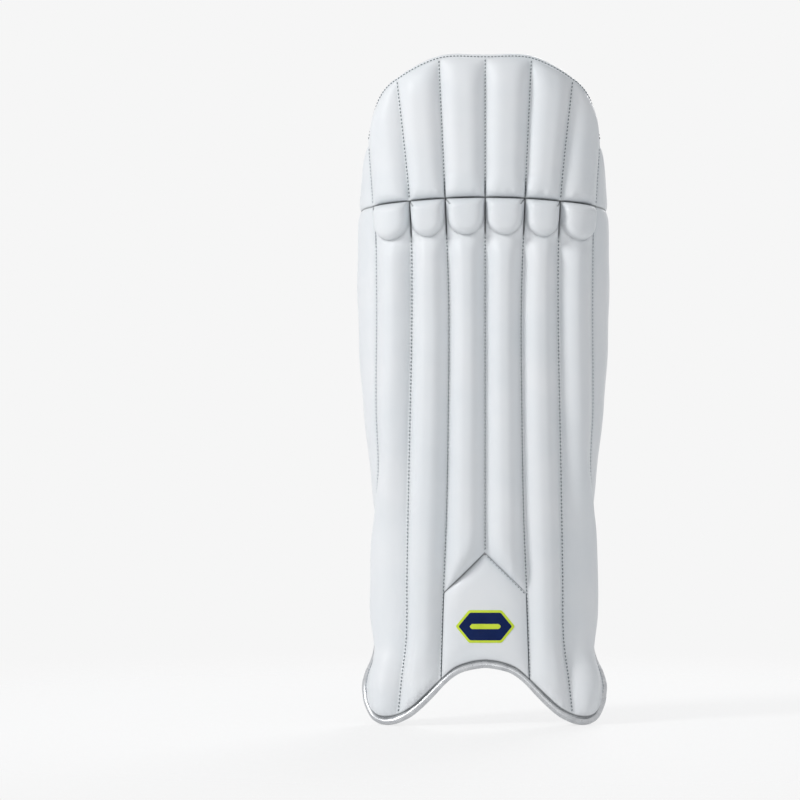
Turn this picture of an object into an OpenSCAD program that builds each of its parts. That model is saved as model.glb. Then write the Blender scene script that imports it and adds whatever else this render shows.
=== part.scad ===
// Cricket wicket-keeping leg pad: ribbed front, side wings, padded back and two ring-buckle straps.
// Millimetres, +Z up, front faces -Y, ring buckles on the +X wing. Origin: on the axis of the leg
// that the pad is strapped to, at the level of the pad's lowest edge.

/* [Overall] */
// Height of the top edge above the instep's lowest edge
pad_height = 660; // [655:1:675]
// Half width of the shell across the calf
calf_half_width = 123.5; // [119:0.5:127]
// Half width of the shell across the ankle
ankle_half_width = 105; // [103:0.5:107]
// Half width of the shell across the instep lobes
instep_half_width = 127; // [125:0.5:129]
// Radius of the shell's rounded front corners
corner_radius = 63.5; // [62:0.5:66]
// How far the instep stands forward of the shin
instep_flare = 16; // [4:1:20]
// Distance from the shell's middle front to the leg's axis
leg_axis_y = 76; // [70:1:80]

/* [Front] */
// Height of the seam between shin ribs and top section
knee_seam_z = 519; // [514:1:524]
// Height of the pointed top of the instep panel
chevron_apex_z = 169; // [162:1:176]
// Height of the instep panel's two shoulders
chevron_shoulder_z = 129; // [124:1:134]
// How far a shin rib stands proud of its seams
rib_rise = 10.5; // [7:0.5:12]
// How far a top channel stands proud of its seams
top_rise = 9; // [6:0.5:11]
// How far the instep panel stands proud of its seams
instep_rise = 5; // [3:0.5:7]
// Thickness of the outer covers
cover_t = 1.2; // [1:0.1:1.4]
// Thickness of the stiff backing behind the front
backing_t = 7.2; // [5:0.1:7.5]

/* [Wings] */
// Height at which the wings end at the bottom
wing_bottom_z = 132; // [131:0.5:132]
// Height of the wings' upper front corner
wing_top_z = 576; // [572:1:580]
// Thickness of the rolled pads inside the wings
roll_t = 15; // [10:1:17]

/* [Back] */
// Thickness of the shin bolster
bolster_t = 26; // [18:1:30]
// Height of the bolster's free bottom edge
bolster_bottom_z = 136; // [134:1:150]
// Height of the bolster's top seam
bolster_top_z = 540; // [530:1:545]

/* [Straps] */
// Width of the webbing
webbing_w = 32; // [28:1:33]
// Thickness of the webbing
webbing_t = 1.6; // [1.4:0.1:1.7]
// Height of the middle of the upper strap
upper_strap_z = 418; // [405:1:430]
// Height of the middle of the lower strap
lower_strap_z = 149.5; // [149.5:0.5:152]
// Length of the folded end of each strap
tail_length = 60; // [45:1:65]
// Radius of the ring buckles' round bars
ring_bar_r = 1.8; // [1.6:0.1:1.8]
// Distance between the two bars of a ring buckle
ring_pitch = 19; // [18:0.5:22]

/* [Hidden] */
$fn = 48;

cover_color = [0.87, 0.90, 0.92];
lining_color = [0.80, 0.80, 0.83];
navy_color = [0.12, 0.11, 0.20];
lime_color = [0.70, 0.85, 0.16];
grey_color = [0.45, 0.48, 0.52];
silver_color = [0.72, 0.74, 0.76];
foam_color = [0.90, 0.88, 0.80];
webbing_color = [0.25, 0.22, 0.38];
ring_color = [0.95, 0.95, 0.96];

// ---- Curves through stations -------------------------------------------------------------

// Index of the station pair that holds t
function pair_at(p, t, i = 0) = i >= len(p) - 2 || t <= p[i + 1][0] ? i : pair_at(p, t, i + 1);
function slope_at(p, i) =
    let (a = p[max(i - 1, 0)], b = p[min(i + 1, len(p) - 1)]) (b[1] - a[1]) / (b[0] - a[0]);
// Smooth curve through the stations [t, value]
function curve_at(p, t) =
    let (
        tc = min(max(t, p[0][0]), p[len(p) - 1][0]),
        i = pair_at(p, tc),
        h = p[i + 1][0] - p[i][0],
        u = (tc - p[i][0]) / h
    )
    (2 * u ^ 3 - 3 * u ^ 2 + 1) * p[i][1] + (u ^ 3 - 2 * u ^ 2 + u) * h * slope_at(p, i)
    + (3 * u ^ 2 - 2 * u ^ 3) * p[i + 1][1] + (u ^ 3 - u ^ 2) * h * slope_at(p, i + 1);
function mix(a, b, t) = a + (b - a) * t;

// ---- Plan section: a shallow front arc, a round corner and a nearly flat side -------------

front_turn = 12;
corner_turn = 80;
width_stations = [
    [0, instep_half_width], [33, instep_half_width], [50, mix(instep_half_width, ankle_half_width, 0.36)],
    [62, mix(instep_half_width, ankle_half_width, 0.72)],
    [76, mix(instep_half_width, ankle_half_width, 0.93)], [100, ankle_half_width],
    [190, ankle_half_width], [227, mix(ankle_half_width, calf_half_width, 0.19)],
    [274, mix(ankle_half_width, calf_half_width, 0.46)],
    [322, mix(ankle_half_width, calf_half_width, 0.73)],
    [369, mix(ankle_half_width, calf_half_width, 0.92)], [430, calf_half_width],
    [480, calf_half_width - 0.5], [535, calf_half_width - 3], [600, calf_half_width - 5.5],
    [pad_height, calf_half_width - 8]
];
side_stations = [[0, 95], [200, 98], [300, 105], [430, 138], [pad_height, 140]];

function side_radius(z) = curve_at(side_stations, z);
function front_x(z) =
    curve_at(width_stations, z) - corner_radius * (sin(corner_turn) - sin(front_turn))
    - side_radius(z) * (1 - sin(corner_turn));
function front_radius(z) = front_x(z) / sin(front_turn);
flare_top_z = 120;
function lean(z) = z < flare_top_z ? -instep_flare * (1 - z / flare_top_z) ^ 1.6 : 0;

// Point at heading h (0 on the centre line, 90 where the side runs straight back), height z and
// distance n outside the shell
function at(h, z, n = 0) =
    let (
        g = abs(h),
        r = front_radius(z),
        a = min(g, front_turn),
        b = min(max(g, front_turn), corner_turn),
        c = max(g, corner_turn),
        x = r * sin(a) + corner_radius * (sin(b) - sin(front_turn))
            + side_radius(z) * (sin(c) - sin(corner_turn)),
        y = r * (1 - cos(a)) + corner_radius * (cos(front_turn) - cos(b))
            + side_radius(z) * (cos(corner_turn) - cos(c))
    )
    [sign(h) * (x + n * sin(g)), y - n * cos(g) + lean(z) - leg_axis_y, z];
// Arc length round the shell from the centre line, and the heading at an arc length
function arc_length(h, z) =
    let (g = abs(h)) sign(h) * PI / 180 * (
        front_radius(z) * min(g, front_turn) + corner_radius * max(min(g, corner_turn) - front_turn, 0)
        + side_radius(z) * max(g - corner_turn, 0)
    );
function heading_at(s, z) =
    let (
        g = abs(s),
        corner_start = arc_length(front_turn, z),
        corner_end = arc_length(corner_turn, z)
    )
    sign(s) * (
        g <= corner_start ? g / front_radius(z) * 180 / PI
        : g <= corner_end ? front_turn + (g - corner_start) / corner_radius * 180 / PI
        : corner_turn + (g - corner_end) / side_radius(z) * 180 / PI
    );
// Heading of the point at distance x from the centre line
function heading_of(x, z) =
    x <= front_x(z) ? asin(x / front_radius(z))
    : asin(min(0.98, sin(front_turn) + (x - front_x(z)) / corner_radius));

// ---- Seams: inner and outer seam of the ribs as distances, wing seam as headings -----------

inner_seam = [[40, 43.5], [130, 40.6], [207, 37.6], [300, 36], [415, 35.4], [516, 39], [658, 45.4]];
outer_seam = [[0, 86], [40, 82], [84, 76.4], [145, 75.6], [251, 74], [430, 71.5], [516, 73.8], [640, 86]];
wing_seam = [
    [8, 50], [31, 56], [66, 76], [102, 88], [134, 90], [193, 84], [250, 64], [300, 58], [380, 49.5],
    [480, 49.5], [511, 55.5], [575, 68], [605, 74], [640, 82]
];
wing_rear = [
    [132, 102], [200, 102.5], [260, 104], [300, 103.5], [350, 101.5], [400, 99.5], [480, 98.5],
    [528, 94], [560, 86], [580, 80]
];
function seam(k, z) =
    k == 0 ? 0
    : k == 1 ? heading_of(curve_at(inner_seam, z), z)
    : k == 2 ? heading_of(curve_at(outer_seam, z), z)
    : curve_at(wing_seam, z);
// Heading at channel coordinate c: whole numbers are seams, from -3 to 3
function channel(c, z) =
    let (g = abs(c), k = min(floor(g), 2))
    sign(c) * heading_at(mix(arc_length(seam(k, z), z), arc_length(seam(k + 1, z), z), g - k), z);

edge_cap = 4;
edge_gap = 0.9;
top_stations = [[0, 0], [1, -1], [2, -21], [2.4, -35], [2.7, -54], [3, wing_top_z - pad_height + edge_cap]];
bottom_stations = [
    [0, 62], [0.33, 60], [0.7, 54], [1, 43], [1.4, 27], [1.7, 15.5], [2, 8.4], [2.35, 5.6], [2.7, 7.5],
    [3, 15]
];
knee_seam_drop = 7.5;
function top_z(c) = pad_height - edge_cap + curve_at(top_stations, abs(c));
function bottom_z(c) = curve_at(bottom_stations, abs(c));
function knee_z(c) = knee_seam_z - knee_seam_drop * (c / 3) ^ 2;
function chevron_z(c) = mix(chevron_apex_z, chevron_shoulder_z, min(abs(c), 1));

// ---- Solids between two grids of points ---------------------------------------------------

// Closed solid between an outer and an inner grid with the same rows and columns
module sheet_solid(outer, inner) {
    cols = len(outer);
    rows = len(outer[0]);
    points = concat([for (c = outer) each c], [for (c = inner) each c]);
    function o(i, j) = i * rows + j;
    function n(i, j) = cols * rows + i * rows + j;
    faces = concat(
        [for (i = [0:cols - 2], j = [0:rows - 2]) each [
            [o(i, j), o(i, j + 1), o(i + 1, j + 1)], [o(i, j), o(i + 1, j + 1), o(i + 1, j)],
            [n(i, j), n(i + 1, j), n(i + 1, j + 1)], [n(i, j), n(i + 1, j + 1), n(i, j + 1)]
        ]],
        [for (i = [0:cols - 2]) each [
            [o(i, 0), o(i + 1, 0), n(i + 1, 0)], [o(i, 0), n(i + 1, 0), n(i, 0)],
            [o(i + 1, rows - 1), o(i, rows - 1), n(i, rows - 1)],
            [o(i + 1, rows - 1), n(i, rows - 1), n(i + 1, rows - 1)]
        ]],
        [for (j = [0:rows - 2]) each [
            [o(0, j + 1), o(0, j), n(0, j)], [o(0, j + 1), n(0, j), n(0, j + 1)],
            [o(cols - 1, j), o(cols - 1, j + 1), n(cols - 1, j + 1)],
            [o(cols - 1, j), n(cols - 1, j + 1), n(cols - 1, j)]
        ]]
    );
    polyhedron(points, faces, convexity = 6);
}

// Panel of the shell: heading(a, z) and height(a, b) place it, out(a, b) and inn(a, b) are the
// distances of its two faces outside the shell
module panel(as, bs, heading, height, out, inn) {
    function face(n) = [for (a = as) [for (b = bs)
        let (z = height(a, b)) at(heading(a, z), z, n(a, b))]];
    sheet_solid(face(out), face(inn));
}

// Solid swept along rings of points
module swept(rings) {
    k = len(rings[0]);
    last = len(rings) - 1;
    points = [for (r = rings) each r];
    faces = concat(
        [for (i = [0:last - 1], j = [0:k - 1]) each [
            [i * k + j, (i + 1) * k + j, (i + 1) * k + (j + 1) % k],
            [i * k + j, (i + 1) * k + (j + 1) % k, i * k + (j + 1) % k]
        ]],
        [[for (j = [0:k - 1]) j]],
        [[for (j = [k - 1:-1:0]) last * k + j]]
    );
    polyhedron(points, faces, convexity = 6);
}

// ---- Front: quilted covers over their fillings --------------------------------------------

seam_n = 2;
play = 0.9;
lining_gap = 0.4;
// Cross-section of a padded channel, from 0 at its seams to 1 at its crest
crown_stations = [[0, 0], [0.16, 0.66], [0.5, 1], [0.84, 0.66], [1, 0]];
crown_cols = [0, 0.16, 0.5, 0.84];
fill_cols = [0.09, 0.16, 0.5, 0.84, 0.91];
function crown(c) = let (g = c + 3) lookup(g - floor(g), crown_stations);

// Rise of a top channel from the knee seam (0) to the top edge (1)
top_rows = [0, 0.06, 0.2, 0.5, 0.8, 0.94, 1];
top_fill_rows = [0.03, 0.06, 0.2, 0.5, 0.8, 0.94, 0.97];
top_profile = [[0, 0], [0.06, 0.7], [0.2, 1], [0.5, 1], [0.8, 0.9], [0.94, 0.6], [1, 0]];
function top_height(c, v) = mix(knee_z(c) + 0.3, top_z(c), v);
function top_n(c, v) = seam_n + top_rise * crown(c) * lookup(v, top_profile);

// Rise of a shin rib: knuckle from 0 to -1, then the rib down to its lower end at -2
knuckle_length = 42;
knuckle_rows = [-1, -0.85, -0.55, -0.28, -0.08, 0];
knuckle_fill_rows = [-0.97, -0.85, -0.55, -0.28, -0.08, -0.04];
side_rib_rows = [-2, -1.97, -1.935, -1.905, -1.88, -1.85, -1.8, -1.65, -1.5, -1.35, -1.2, -1.06];
side_cane_rows = [-1.985, -1.97, -1.935, -1.905, -1.88, -1.85, -1.8, -1.65, -1.5, -1.35, -1.2, -1.06, -1.02];
mid_rib_rows = [-2, -1.97, -1.92, -1.8, -1.65, -1.5, -1.35, -1.2, -1.06];
mid_cane_rows = [-1.985, -1.97, -1.92, -1.8, -1.65, -1.5, -1.35, -1.2, -1.06, -1.02];
rib_profile = [
    [-2, 0], [-1.97, 0.5], [-1.92, 0.75], [-1.8, 0.95], [-1.5, 1], [-1.2, 1], [-1.06, 0.95],
    [-1, 0.72], [-0.85, 1.05], [-0.55, 1.35], [-0.28, 1.3], [-0.08, 0.8], [0, 0]
];
lobe_profile = [
    [-2, 0], [-1.97, 0.35], [-1.935, 0.5], [-1.905, 0.55], [-1.85, 0.62], [-1.8, 0.75], [-1.65, 0.95],
    [-1.5, 1], [-1.2, 1], [-1.06, 0.95], [-1, 0.72], [-0.85, 1.05], [-0.55, 1.35], [-0.28, 1.3],
    [-0.08, 0.8], [0, 0]
];
function rib_end_z(c, low) = low ? bottom_z(c) : chevron_z(c) + 0.6;
function rib_height(c, w, low) =
    w > -1 ? knee_z(c) + knuckle_length * w
    : mix(knee_z(c) - knuckle_length, rib_end_z(c, low), -w - 1);
function rib_n(c, w, low) = seam_n + rib_rise * crown(c) * lookup(w, low ? lobe_profile : rib_profile);

fill_floor = 0.8;
function fill_n(n) = max(n - cover_t - play, fill_floor + 0.4);
module quilt(cols, rows, height, n) {
    panel(cols, rows, function (c, z) channel(c, z), height, n, function (c, b) n(c, b) - cover_t);
}
module filling(k, rows, height, n) {
    panel(
        [for (f = fill_cols) k - 4 + f], rows, function (c, z) channel(c, z), height,
        function (c, b) fill_n(n(c, b)), function (c, b) fill_floor
    );
}

module top_cover() {
    color(cover_color)
        quilt(
            concat([for (k = [-3:2], f = crown_cols) k + f], [3]), top_rows,
            function (c, v) top_height(c, v), function (c, v) top_n(c, v)
        );
}
module top_fill(k) {
    color(foam_color)
        filling(k, top_fill_rows, function (c, v) top_height(c, v), function (c, v) top_n(c, v));
}
module shin_cover_side(side) {
    // One of the two outer rib pairs, which run down into the instep lobes
    edge = 0.008;
    cols = [for (k = [0:1], f = crown_cols) k + 1 + max(f, k == 0 ? edge : 0)];
    signed = side > 0 ? concat(cols, [3]) : concat([-3], [for (i = [len(cols) - 1:-1:0]) -cols[i]]);
    color(cover_color)
        quilt(
            signed, concat(side_rib_rows, knuckle_rows),
            function (c, w) rib_height(c, w, true), function (c, w) rib_n(c, w, true)
        );
}
module shin_cover_center() {
    color(cover_color)
        quilt(
            [-1, -0.84, -0.5, -0.16, 0, 0.16, 0.5, 0.84, 1], concat(mid_rib_rows, knuckle_rows),
            function (c, w) rib_height(c, w, false), function (c, w) rib_n(c, w, false)
        );
}
module knuckle_fill(k) {
    low = k < 3 || k > 4;
    color(foam_color)
        filling(
            k, knuckle_fill_rows,
            function (c, w) rib_height(c, w, low), function (c, w) rib_n(c, w, low)
        );
}
module cane(k) {
    low = k < 3 || k > 4;
    color(foam_color)
        filling(
            k, low ? side_cane_rows : mid_cane_rows,
            function (c, w) rib_height(c, w, low), function (c, w) rib_n(c, w, low)
        );
}

// Five-sided panel over the instep, between the outer rib pairs
instep_cols = [-0.985, -0.8, -0.4, 0, 0.4, 0.8, 0.985];
instep_rows = [0, 0.08, 0.3, 0.7, 0.92, 1];
instep_profile = [[0, 0], [0.08, 0.6], [0.3, 1], [0.7, 1], [0.92, 0.6], [1, 0]];
instep_crown = [[-1, 0], [-0.8, 0.75], [-0.4, 1], [0.4, 1], [0.8, 0.75], [1, 0]];
function instep_height(c, v) = mix(bottom_z(c), chevron_z(c), v);
function instep_n(c, v) = seam_n + instep_rise * lookup(c, instep_crown) * lookup(v, instep_profile);
module instep_panel() {
    color(cover_color)
        quilt(
            instep_cols, instep_rows,
            function (c, v) instep_height(c, v), function (c, v) instep_n(c, v)
        );
}
module instep_fill() {
    color(foam_color)
        panel(
            [-0.9, -0.8, -0.4, 0, 0.4, 0.8, 0.9], [0.04, 0.08, 0.3, 0.7, 0.92, 0.96],
            function (c, z) channel(c, z), function (c, v) instep_height(c, v),
            function (c, v) fill_n(instep_n(c, v)), function (c, v) fill_floor
        );
}

// ---- Backing and linings ------------------------------------------------------------------

layer_half = [1, 1.5, 2, 2.25, 2.5, 2.75, 2.985];
instep_layer_half = [0.35, 0.7, 1, 1.25, 1.5, 1.75, 2, 2.25, 2.5, 2.75, 2.93];
function both_sides(half) = concat([for (i = [len(half) - 1:-1:0]) -half[i]], [0], half);
shin_layer_rows = [0, 0.12, 0.25, 0.38, 0.52, 0.66, 0.78, 0.9, 1];
instep_layer_rows = [0, 0.1, 0.21, 0.31, 0.42, 0.5, 0.6, 0.75, 1];
layer_split_z = 130;
back_n = -0.3 - backing_t;
lining_t = 0.8;
function shin_layer_height(c, v) = mix(layer_split_z + 0.2, top_z(c), v);
function instep_layer_height(c, v) = mix(bottom_z(c) + 0.8, layer_split_z - 0.2, v);

module shin_layer(out_n, in_n) {
    panel(
        both_sides(layer_half), shin_layer_rows, function (c, z) channel(c, z),
        function (c, v) shin_layer_height(c, v), function (c, v) out_n, function (c, v) in_n
    );
}
module instep_layer(out_n, in_n) {
    panel(
        both_sides(instep_layer_half), instep_layer_rows, function (c, z) channel(c, z),
        function (c, v) instep_layer_height(c, v), function (c, v) out_n, function (c, v) in_n
    );
}
module shin_backing() {
    color(foam_color) shin_layer(-0.3, back_n);
}
module instep_backing() {
    color(foam_color) instep_layer(-0.3, back_n);
}
module back_lining() {
    color(lining_color) shin_layer(back_n - lining_gap, back_n - lining_gap - lining_t);
}
module instep_lining() {
    color(lining_color) instep_layer(back_n - lining_gap, back_n - lining_gap - lining_t);
}

// ---- Wings --------------------------------------------------------------------------------

wing_cols = [0, 0.22, 0.45, 0.66, 0.84, 1];
wing_rows = [0, 0.05, 0.15, 0.27, 0.38, 0.5, 0.62, 0.74, 0.86, 0.95, 1];
wing_puff = 1.4;
pocket = 3;
wing_foam_t = 4;
wing_t = pocket + wing_foam_t;
function wing_height(q, v) = mix(wing_bottom_z, wing_top_z - 14 * q ^ 2, v);
// Heading at fraction q of the way from gap behind the wing seam to the rear edge
function wing_heading(q, z, gap) = heading_at(
    mix(arc_length(curve_at(wing_seam, z), z) + gap, arc_length(curve_at(wing_rear, z), z), q), z
);
inner_gap = 2.5;
module wing_layer(side, out_n, in_n, gap = inner_gap, puff = 0) {
    qs = side > 0 ? wing_cols : [for (i = [len(wing_cols) - 1:-1:0]) wing_cols[i]];
    panel(
        qs, wing_rows, function (q, z) side * wing_heading(q, z, gap),
        function (q, v) wing_height(q, v),
        function (q, v) out_n + puff * sin(180 * q) * min(1, 8 * v, 8 * (1 - v)),
        function (q, v) in_n
    );
}
module wing_cover(side) {
    color(cover_color) wing_layer(side, cover_t, 0, gap = 0.9, puff = wing_puff);
}
module wing_foam(side) {
    color(foam_color) wing_layer(side, -pocket, -wing_t);
}
module wing_lining(side) {
    color(lining_color)
        wing_layer(side, -wing_t - lining_gap, -wing_t - lining_gap - lining_t);
}

// Rolled pad along the inside of a wing, gathered at its top end
roll_cols = [0.12, 0.2, 0.4, 0.6, 0.8, 0.9, 0.96];
roll_rows = [0, 0.04, 0.14, 0.3, 0.45, 0.6, 0.75, 0.9, 0.97, 1];
roll_crown = [[0.12, 0.12], [0.2, 0.5], [0.4, 0.9], [0.6, 1], [0.8, 0.8], [0.9, 0.5], [0.96, 0.12]];
roll_profile = [
    [0, 0.25], [0.04, 0.5], [0.14, 0.75], [0.3, 0.9], [0.6, 1], [0.9, 0.95], [0.97, 0.75], [1, 0.35]
];
roll_bottom_z = 176;
roll_top_z = 533;
roll_n = -wing_t - lining_gap - lining_t - 1.2;
module side_roll(side) {
    qs = side > 0 ? roll_cols : [for (i = [len(roll_cols) - 1:-1:0]) roll_cols[i]];
    color(lining_color)
        panel(
            qs, roll_rows, function (q, z) side * wing_heading(q, z, inner_gap),
            function (q, v) mix(roll_bottom_z, roll_top_z, v),
            function (q, v) roll_n,
            function (q, v) roll_n - roll_t * lookup(q, roll_crown) * lookup(v, roll_profile)
        );
}

// ---- Shin bolster -------------------------------------------------------------------------

bolster_cols = both_sides([0.89, 1.38, 1.6, 2.1, 2.5, 2.7, 2.8]);
bolster_rows = [0, 0.02, 0.07, 0.18, 0.25, 0.32, 0.46, 0.6, 0.74, 0.88, 0.97, 1];
bolster_crown = [
    [0, 0.93], [0.89, 0.93], [1.38, 0.8], [1.6, 0.96], [2.1, 1], [2.5, 0.8], [2.7, 0.5], [2.8, 0.15]
];
bolster_profile = [[0, 0.2], [0.02, 0.6], [0.07, 0.9], [0.18, 1], [0.88, 1], [0.97, 0.8], [1, 0.3]];
bolster_n = back_n - lining_gap - lining_t - 1;
function bolster_height(c, v) = mix(bolster_bottom_z, bolster_top_z, v);
function bolster_depth(c, v) =
    bolster_n - bolster_t * lookup(abs(c), bolster_crown) * lookup(v, bolster_profile);
module bolster_layer(cols, rows, out_n, in_n) {
    panel(
        cols, rows, function (c, z) channel(c, z), function (c, v) bolster_height(c, v), out_n, in_n
    );
}
module bolster_core() {
    color(foam_color)
        bolster_layer(
            bolster_cols, bolster_rows,
            function (c, v) bolster_n, function (c, v) bolster_depth(c, v)
        );
}
module bolster_cover() {
    color(lining_color)
        bolster_layer(
            bolster_cols, bolster_rows,
            function (c, v) bolster_depth(c, v) - 0.2, function (c, v) bolster_depth(c, v) - 1.2
        );
}
overlay_gap = 2.6;
overlay_t = 0.9;
strip_low = 0.24;
strip_slant = 0.06;
module overlay(cols, rows, low) {
    // A panel sewn on the bolster's cover between row low(c) and the top
    function row(c, r) = r < rows[1] ? low(c) : r;
    panel(
        cols, rows, function (c, z) channel(c, z), function (c, r) bolster_height(c, row(c, r)),
        function (c, r) bolster_depth(c, row(c, r)) - overlay_gap,
        function (c, r) bolster_depth(c, row(c, r)) - overlay_gap - overlay_t
    );
}
module mesh_strip(side) {
    cols = [1.42, 1.6, 2.1, 2.5, 2.68];
    signed = side > 0 ? cols : [for (i = [4:-1:0]) -cols[i]];
    color("whitesmoke")
        overlay(
            signed, [0, 0.32, 0.46, 0.6, 0.74, 0.88, 0.965],
            function (c) strip_low + strip_slant * (2.68 - abs(c)) / 1.26
        );
}
band_low = 0.34;
band_rise = 0.035;
module center_band() {
    color(navy_color)
        overlay(
            [-0.87, -0.45, 0, 0.45, 0.87], [0, 0.46, 0.6, 0.74, 0.88, 0.965],
            function (c) band_low + band_rise * (1 - abs(c) / 0.87)
        );
}
tip_h = 0.022;
module band_tip() {
    function low(c) = band_low - tip_h - 0.001 + band_rise * (1 - abs(c) / 0.87);
    color(lime_color)
        panel(
            [-0.87, -0.45, 0, 0.45, 0.87], [0, 1], function (c, z) channel(c, z),
            function (c, r) bolster_height(c, low(c) + tip_h * r),
            function (c, r) bolster_depth(c, 0.3) - overlay_gap,
            function (c, r) bolster_depth(c, 0.3) - overlay_gap - overlay_t
        );
}

// ---- Edges: top binding, instep binding and piping ----------------------------------------

module top_binding() {
    cs = [for (i = [-15:15]) i / 5 * 0.995];
    out = seam_n + 0.4;
    inn = back_n - lining_gap - lining_t - 0.5;
    rise = edge_cap - edge_gap;
    profile = [[inn, 0], [inn + 1.2, rise], [out - 1.2, rise], [out, 0]];
    rings = [for (c = cs)
        [for (p = profile) at(channel(c, top_z(c)), top_z(c), p[0]) + [0, 0, edge_gap + p[1]]]];
    color(cover_color) swept(rings);
}

// Edge of the instep as [c, z], from the +X side down, along the arch and up the -X side
instep_side_z = [126, 112, 98, 84, 72, 60, 50, 40, 30, 22];
instep_edge_c = [2.85, 2.65, 2.4, 2.15, 1.95, 1.75, 1.5, 1.25, 1, 0.8, 0.6, 0.4, 0.2];
half_edge = concat([for (z = instep_side_z) [3, z]], [for (c = instep_edge_c) [c, bottom_z(c)]]);
instep_edge = concat(
    half_edge, [[0, bottom_z(0)]],
    [for (i = [len(half_edge) - 1:-1:0]) [-half_edge[i][0], half_edge[i][1]]]
);
function unit(v) = v / norm(v);
edge_headings = [for (e = instep_edge) channel(e[0], e[1])];
edge_flat = [for (i = [0:len(instep_edge) - 1])
    let (z = instep_edge[i][1]) [arc_length(edge_headings[i], z), z]];
// Ring of points round the edge; profile points are [distance beyond the edge, n]
function edge_ring(i, profile) =
    let (
        last = len(edge_flat) - 1,
        along = unit(edge_flat[min(i + 1, last)] - edge_flat[max(i - 1, 0)]),
        beyond = [-along[1], along[0]],
        z = edge_flat[i][1]
    )
    [for (p = profile)
        at(heading_at(edge_flat[i][0] + p[0] * beyond[0], z), z + p[0] * beyond[1], p[1])];
piping_r = 2.3;
piping_profile = [for (a = [0:60:300]) [2.9 + piping_r * cos(a), -1.6 + piping_r * sin(a)]];
binding_in = back_n - lining_gap - lining_t - 0.9;
binding_profile = [
    [-8, binding_in - 1.8], [4.6, binding_in - 1.8], [4.6, -4.3], [0.5, -4.3], [0.5, binding_in],
    [-8, binding_in]
];
module instep_piping() {
    color(silver_color)
        swept([for (i = [0:len(edge_flat) - 1]) edge_ring(i, piping_profile)]);
}
module instep_binding() {
    color(grey_color)
        swept([for (i = [0:len(edge_flat) - 1]) edge_ring(i, binding_profile)]);
}

// ---- Straps -------------------------------------------------------------------------------
// All in plan: the webbing is a strip along a path, extruded by its width.

bend_r = 8;
anchor_length = 16;
wrap_r = 3.7 + webbing_t / 2;
loop_clear = 0.1;
patch_t = 1.1;
patch_gap = 0.3;
// Strap levels: [height, angle at which the strap leaves the wing, distance of ring bar A from
// the end of the tab's bend]
upper = [upper_strap_z, 21, 3.6];
lower = [lower_strap_z, 18, 9];

function flat(p) = [p[0], p[1]];
function dir(a) = [cos(a), sin(a)];
function wing_edge_heading(z) = curve_at(wing_rear, z);
// Path inside the wing's pocket, from the inside to the rear edge, on the +X side
function anchor_path(z) =
    let (h = wing_edge_heading(z), span = anchor_length / side_radius(z) * 180 / PI)
    [for (t = [0:0.25:1]) flat(at(h - span * (1 - t), z, -pocket / 2))];
// Bend behind the rear edge, on the +X side, up to heading 180 - leave
function bend_end_heading(level) = 180 - level[1];
function bend_path(level) =
    let (
        h = wing_edge_heading(level[0]),
        start = flat(at(h, level[0], -pocket / 2)),
        stop = bend_end_heading(level)
    )
    [for (t = [0.2:0.2:1]) let (a = mix(h, stop, t))
        start + bend_r * [sin(a) - sin(h), cos(h) - cos(a)]];
function last(v) = v[len(v) - 1];
function mirrored(path) = [for (p = path) [-p[0], p[1]]];
// Ring bars: A in the tab's loop, B in the strap's fold
function bar_a(level) = last(bend_path(level)) + level[2] * dir(bend_end_heading(level));
function bar_b(level) = bar_a(level) + ring_pitch * dir(bend_end_heading(level) + 1.5);
// Circle of the strap round the leg: leaves the -X bend and passes bar B on the leg side
function strap_start(level) = let (p = last(bend_path(level))) [-p[0], p[1]];
function strap_radius(level) =
    let (
        d = bar_b(level) - strap_start(level),
        u = [sin(level[1]), -cos(level[1])]
    )
    (d * d - wrap_r ^ 2) / (2 * (d * u) + 2 * wrap_r);
function strap_center(level) =
    strap_start(level) + strap_radius(level) * [sin(level[1]), -cos(level[1])];
function angle_of(v) = atan2(v[1], v[0]);
function fold_angle(level) = angle_of(bar_b(level) - strap_center(level));
function around(level, r, a) = strap_center(level) + r * dir(a);
function arc_turn(level, s) = s / strap_radius(level) * 180 / PI;

sewn_gap = 0.05;
tail_n = webbing_t + 2 * patch_t + 2 * sewn_gap + patch_gap;
return_length = 15;
function smooth(t) = t * t * (3 - 2 * t);
function strap_path(level) =
    let (
        from = angle_of(strap_start(level) - strap_center(level)),
        to = fold_angle(level)
    )
    concat(
        mirrored(anchor_path(level[0])), mirrored(bend_path(level)),
        [for (t = [0.05:0.05:1]) around(level, strap_radius(level), mix(from, to, t))],
        [for (a = [20:20:180]) bar_b(level) + wrap_r * dir(to + 180 + a)],
        [for (t = [0.2:0.2:1]) around(
            level, strap_radius(level) + mix(2 * wrap_r, tail_n, smooth(t)),
            to + arc_turn(level, return_length * t)
        )]
    );
// Strip of the given thickness round a path
function path_normal(p, i) =
    let (d = p[min(i + 1, len(p) - 1)] - p[max(i - 1, 0)]) [-d[1], d[0]] / norm(d);
module strip(path, t) {
    polygon(concat(
        [for (i = [0:len(path) - 1]) path[i] + t / 2 * path_normal(path, i)],
        [for (i = [len(path) - 1:-1:0]) path[i] - t / 2 * path_normal(path, i)]
    ));
}
module webbing(level) {
    translate([0, 0, level[0] - webbing_w / 2]) linear_extrude(webbing_w) children();
}
module strap(level) {
    color(webbing_color) webbing(level) strip(strap_path(level), webbing_t);
}
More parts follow.
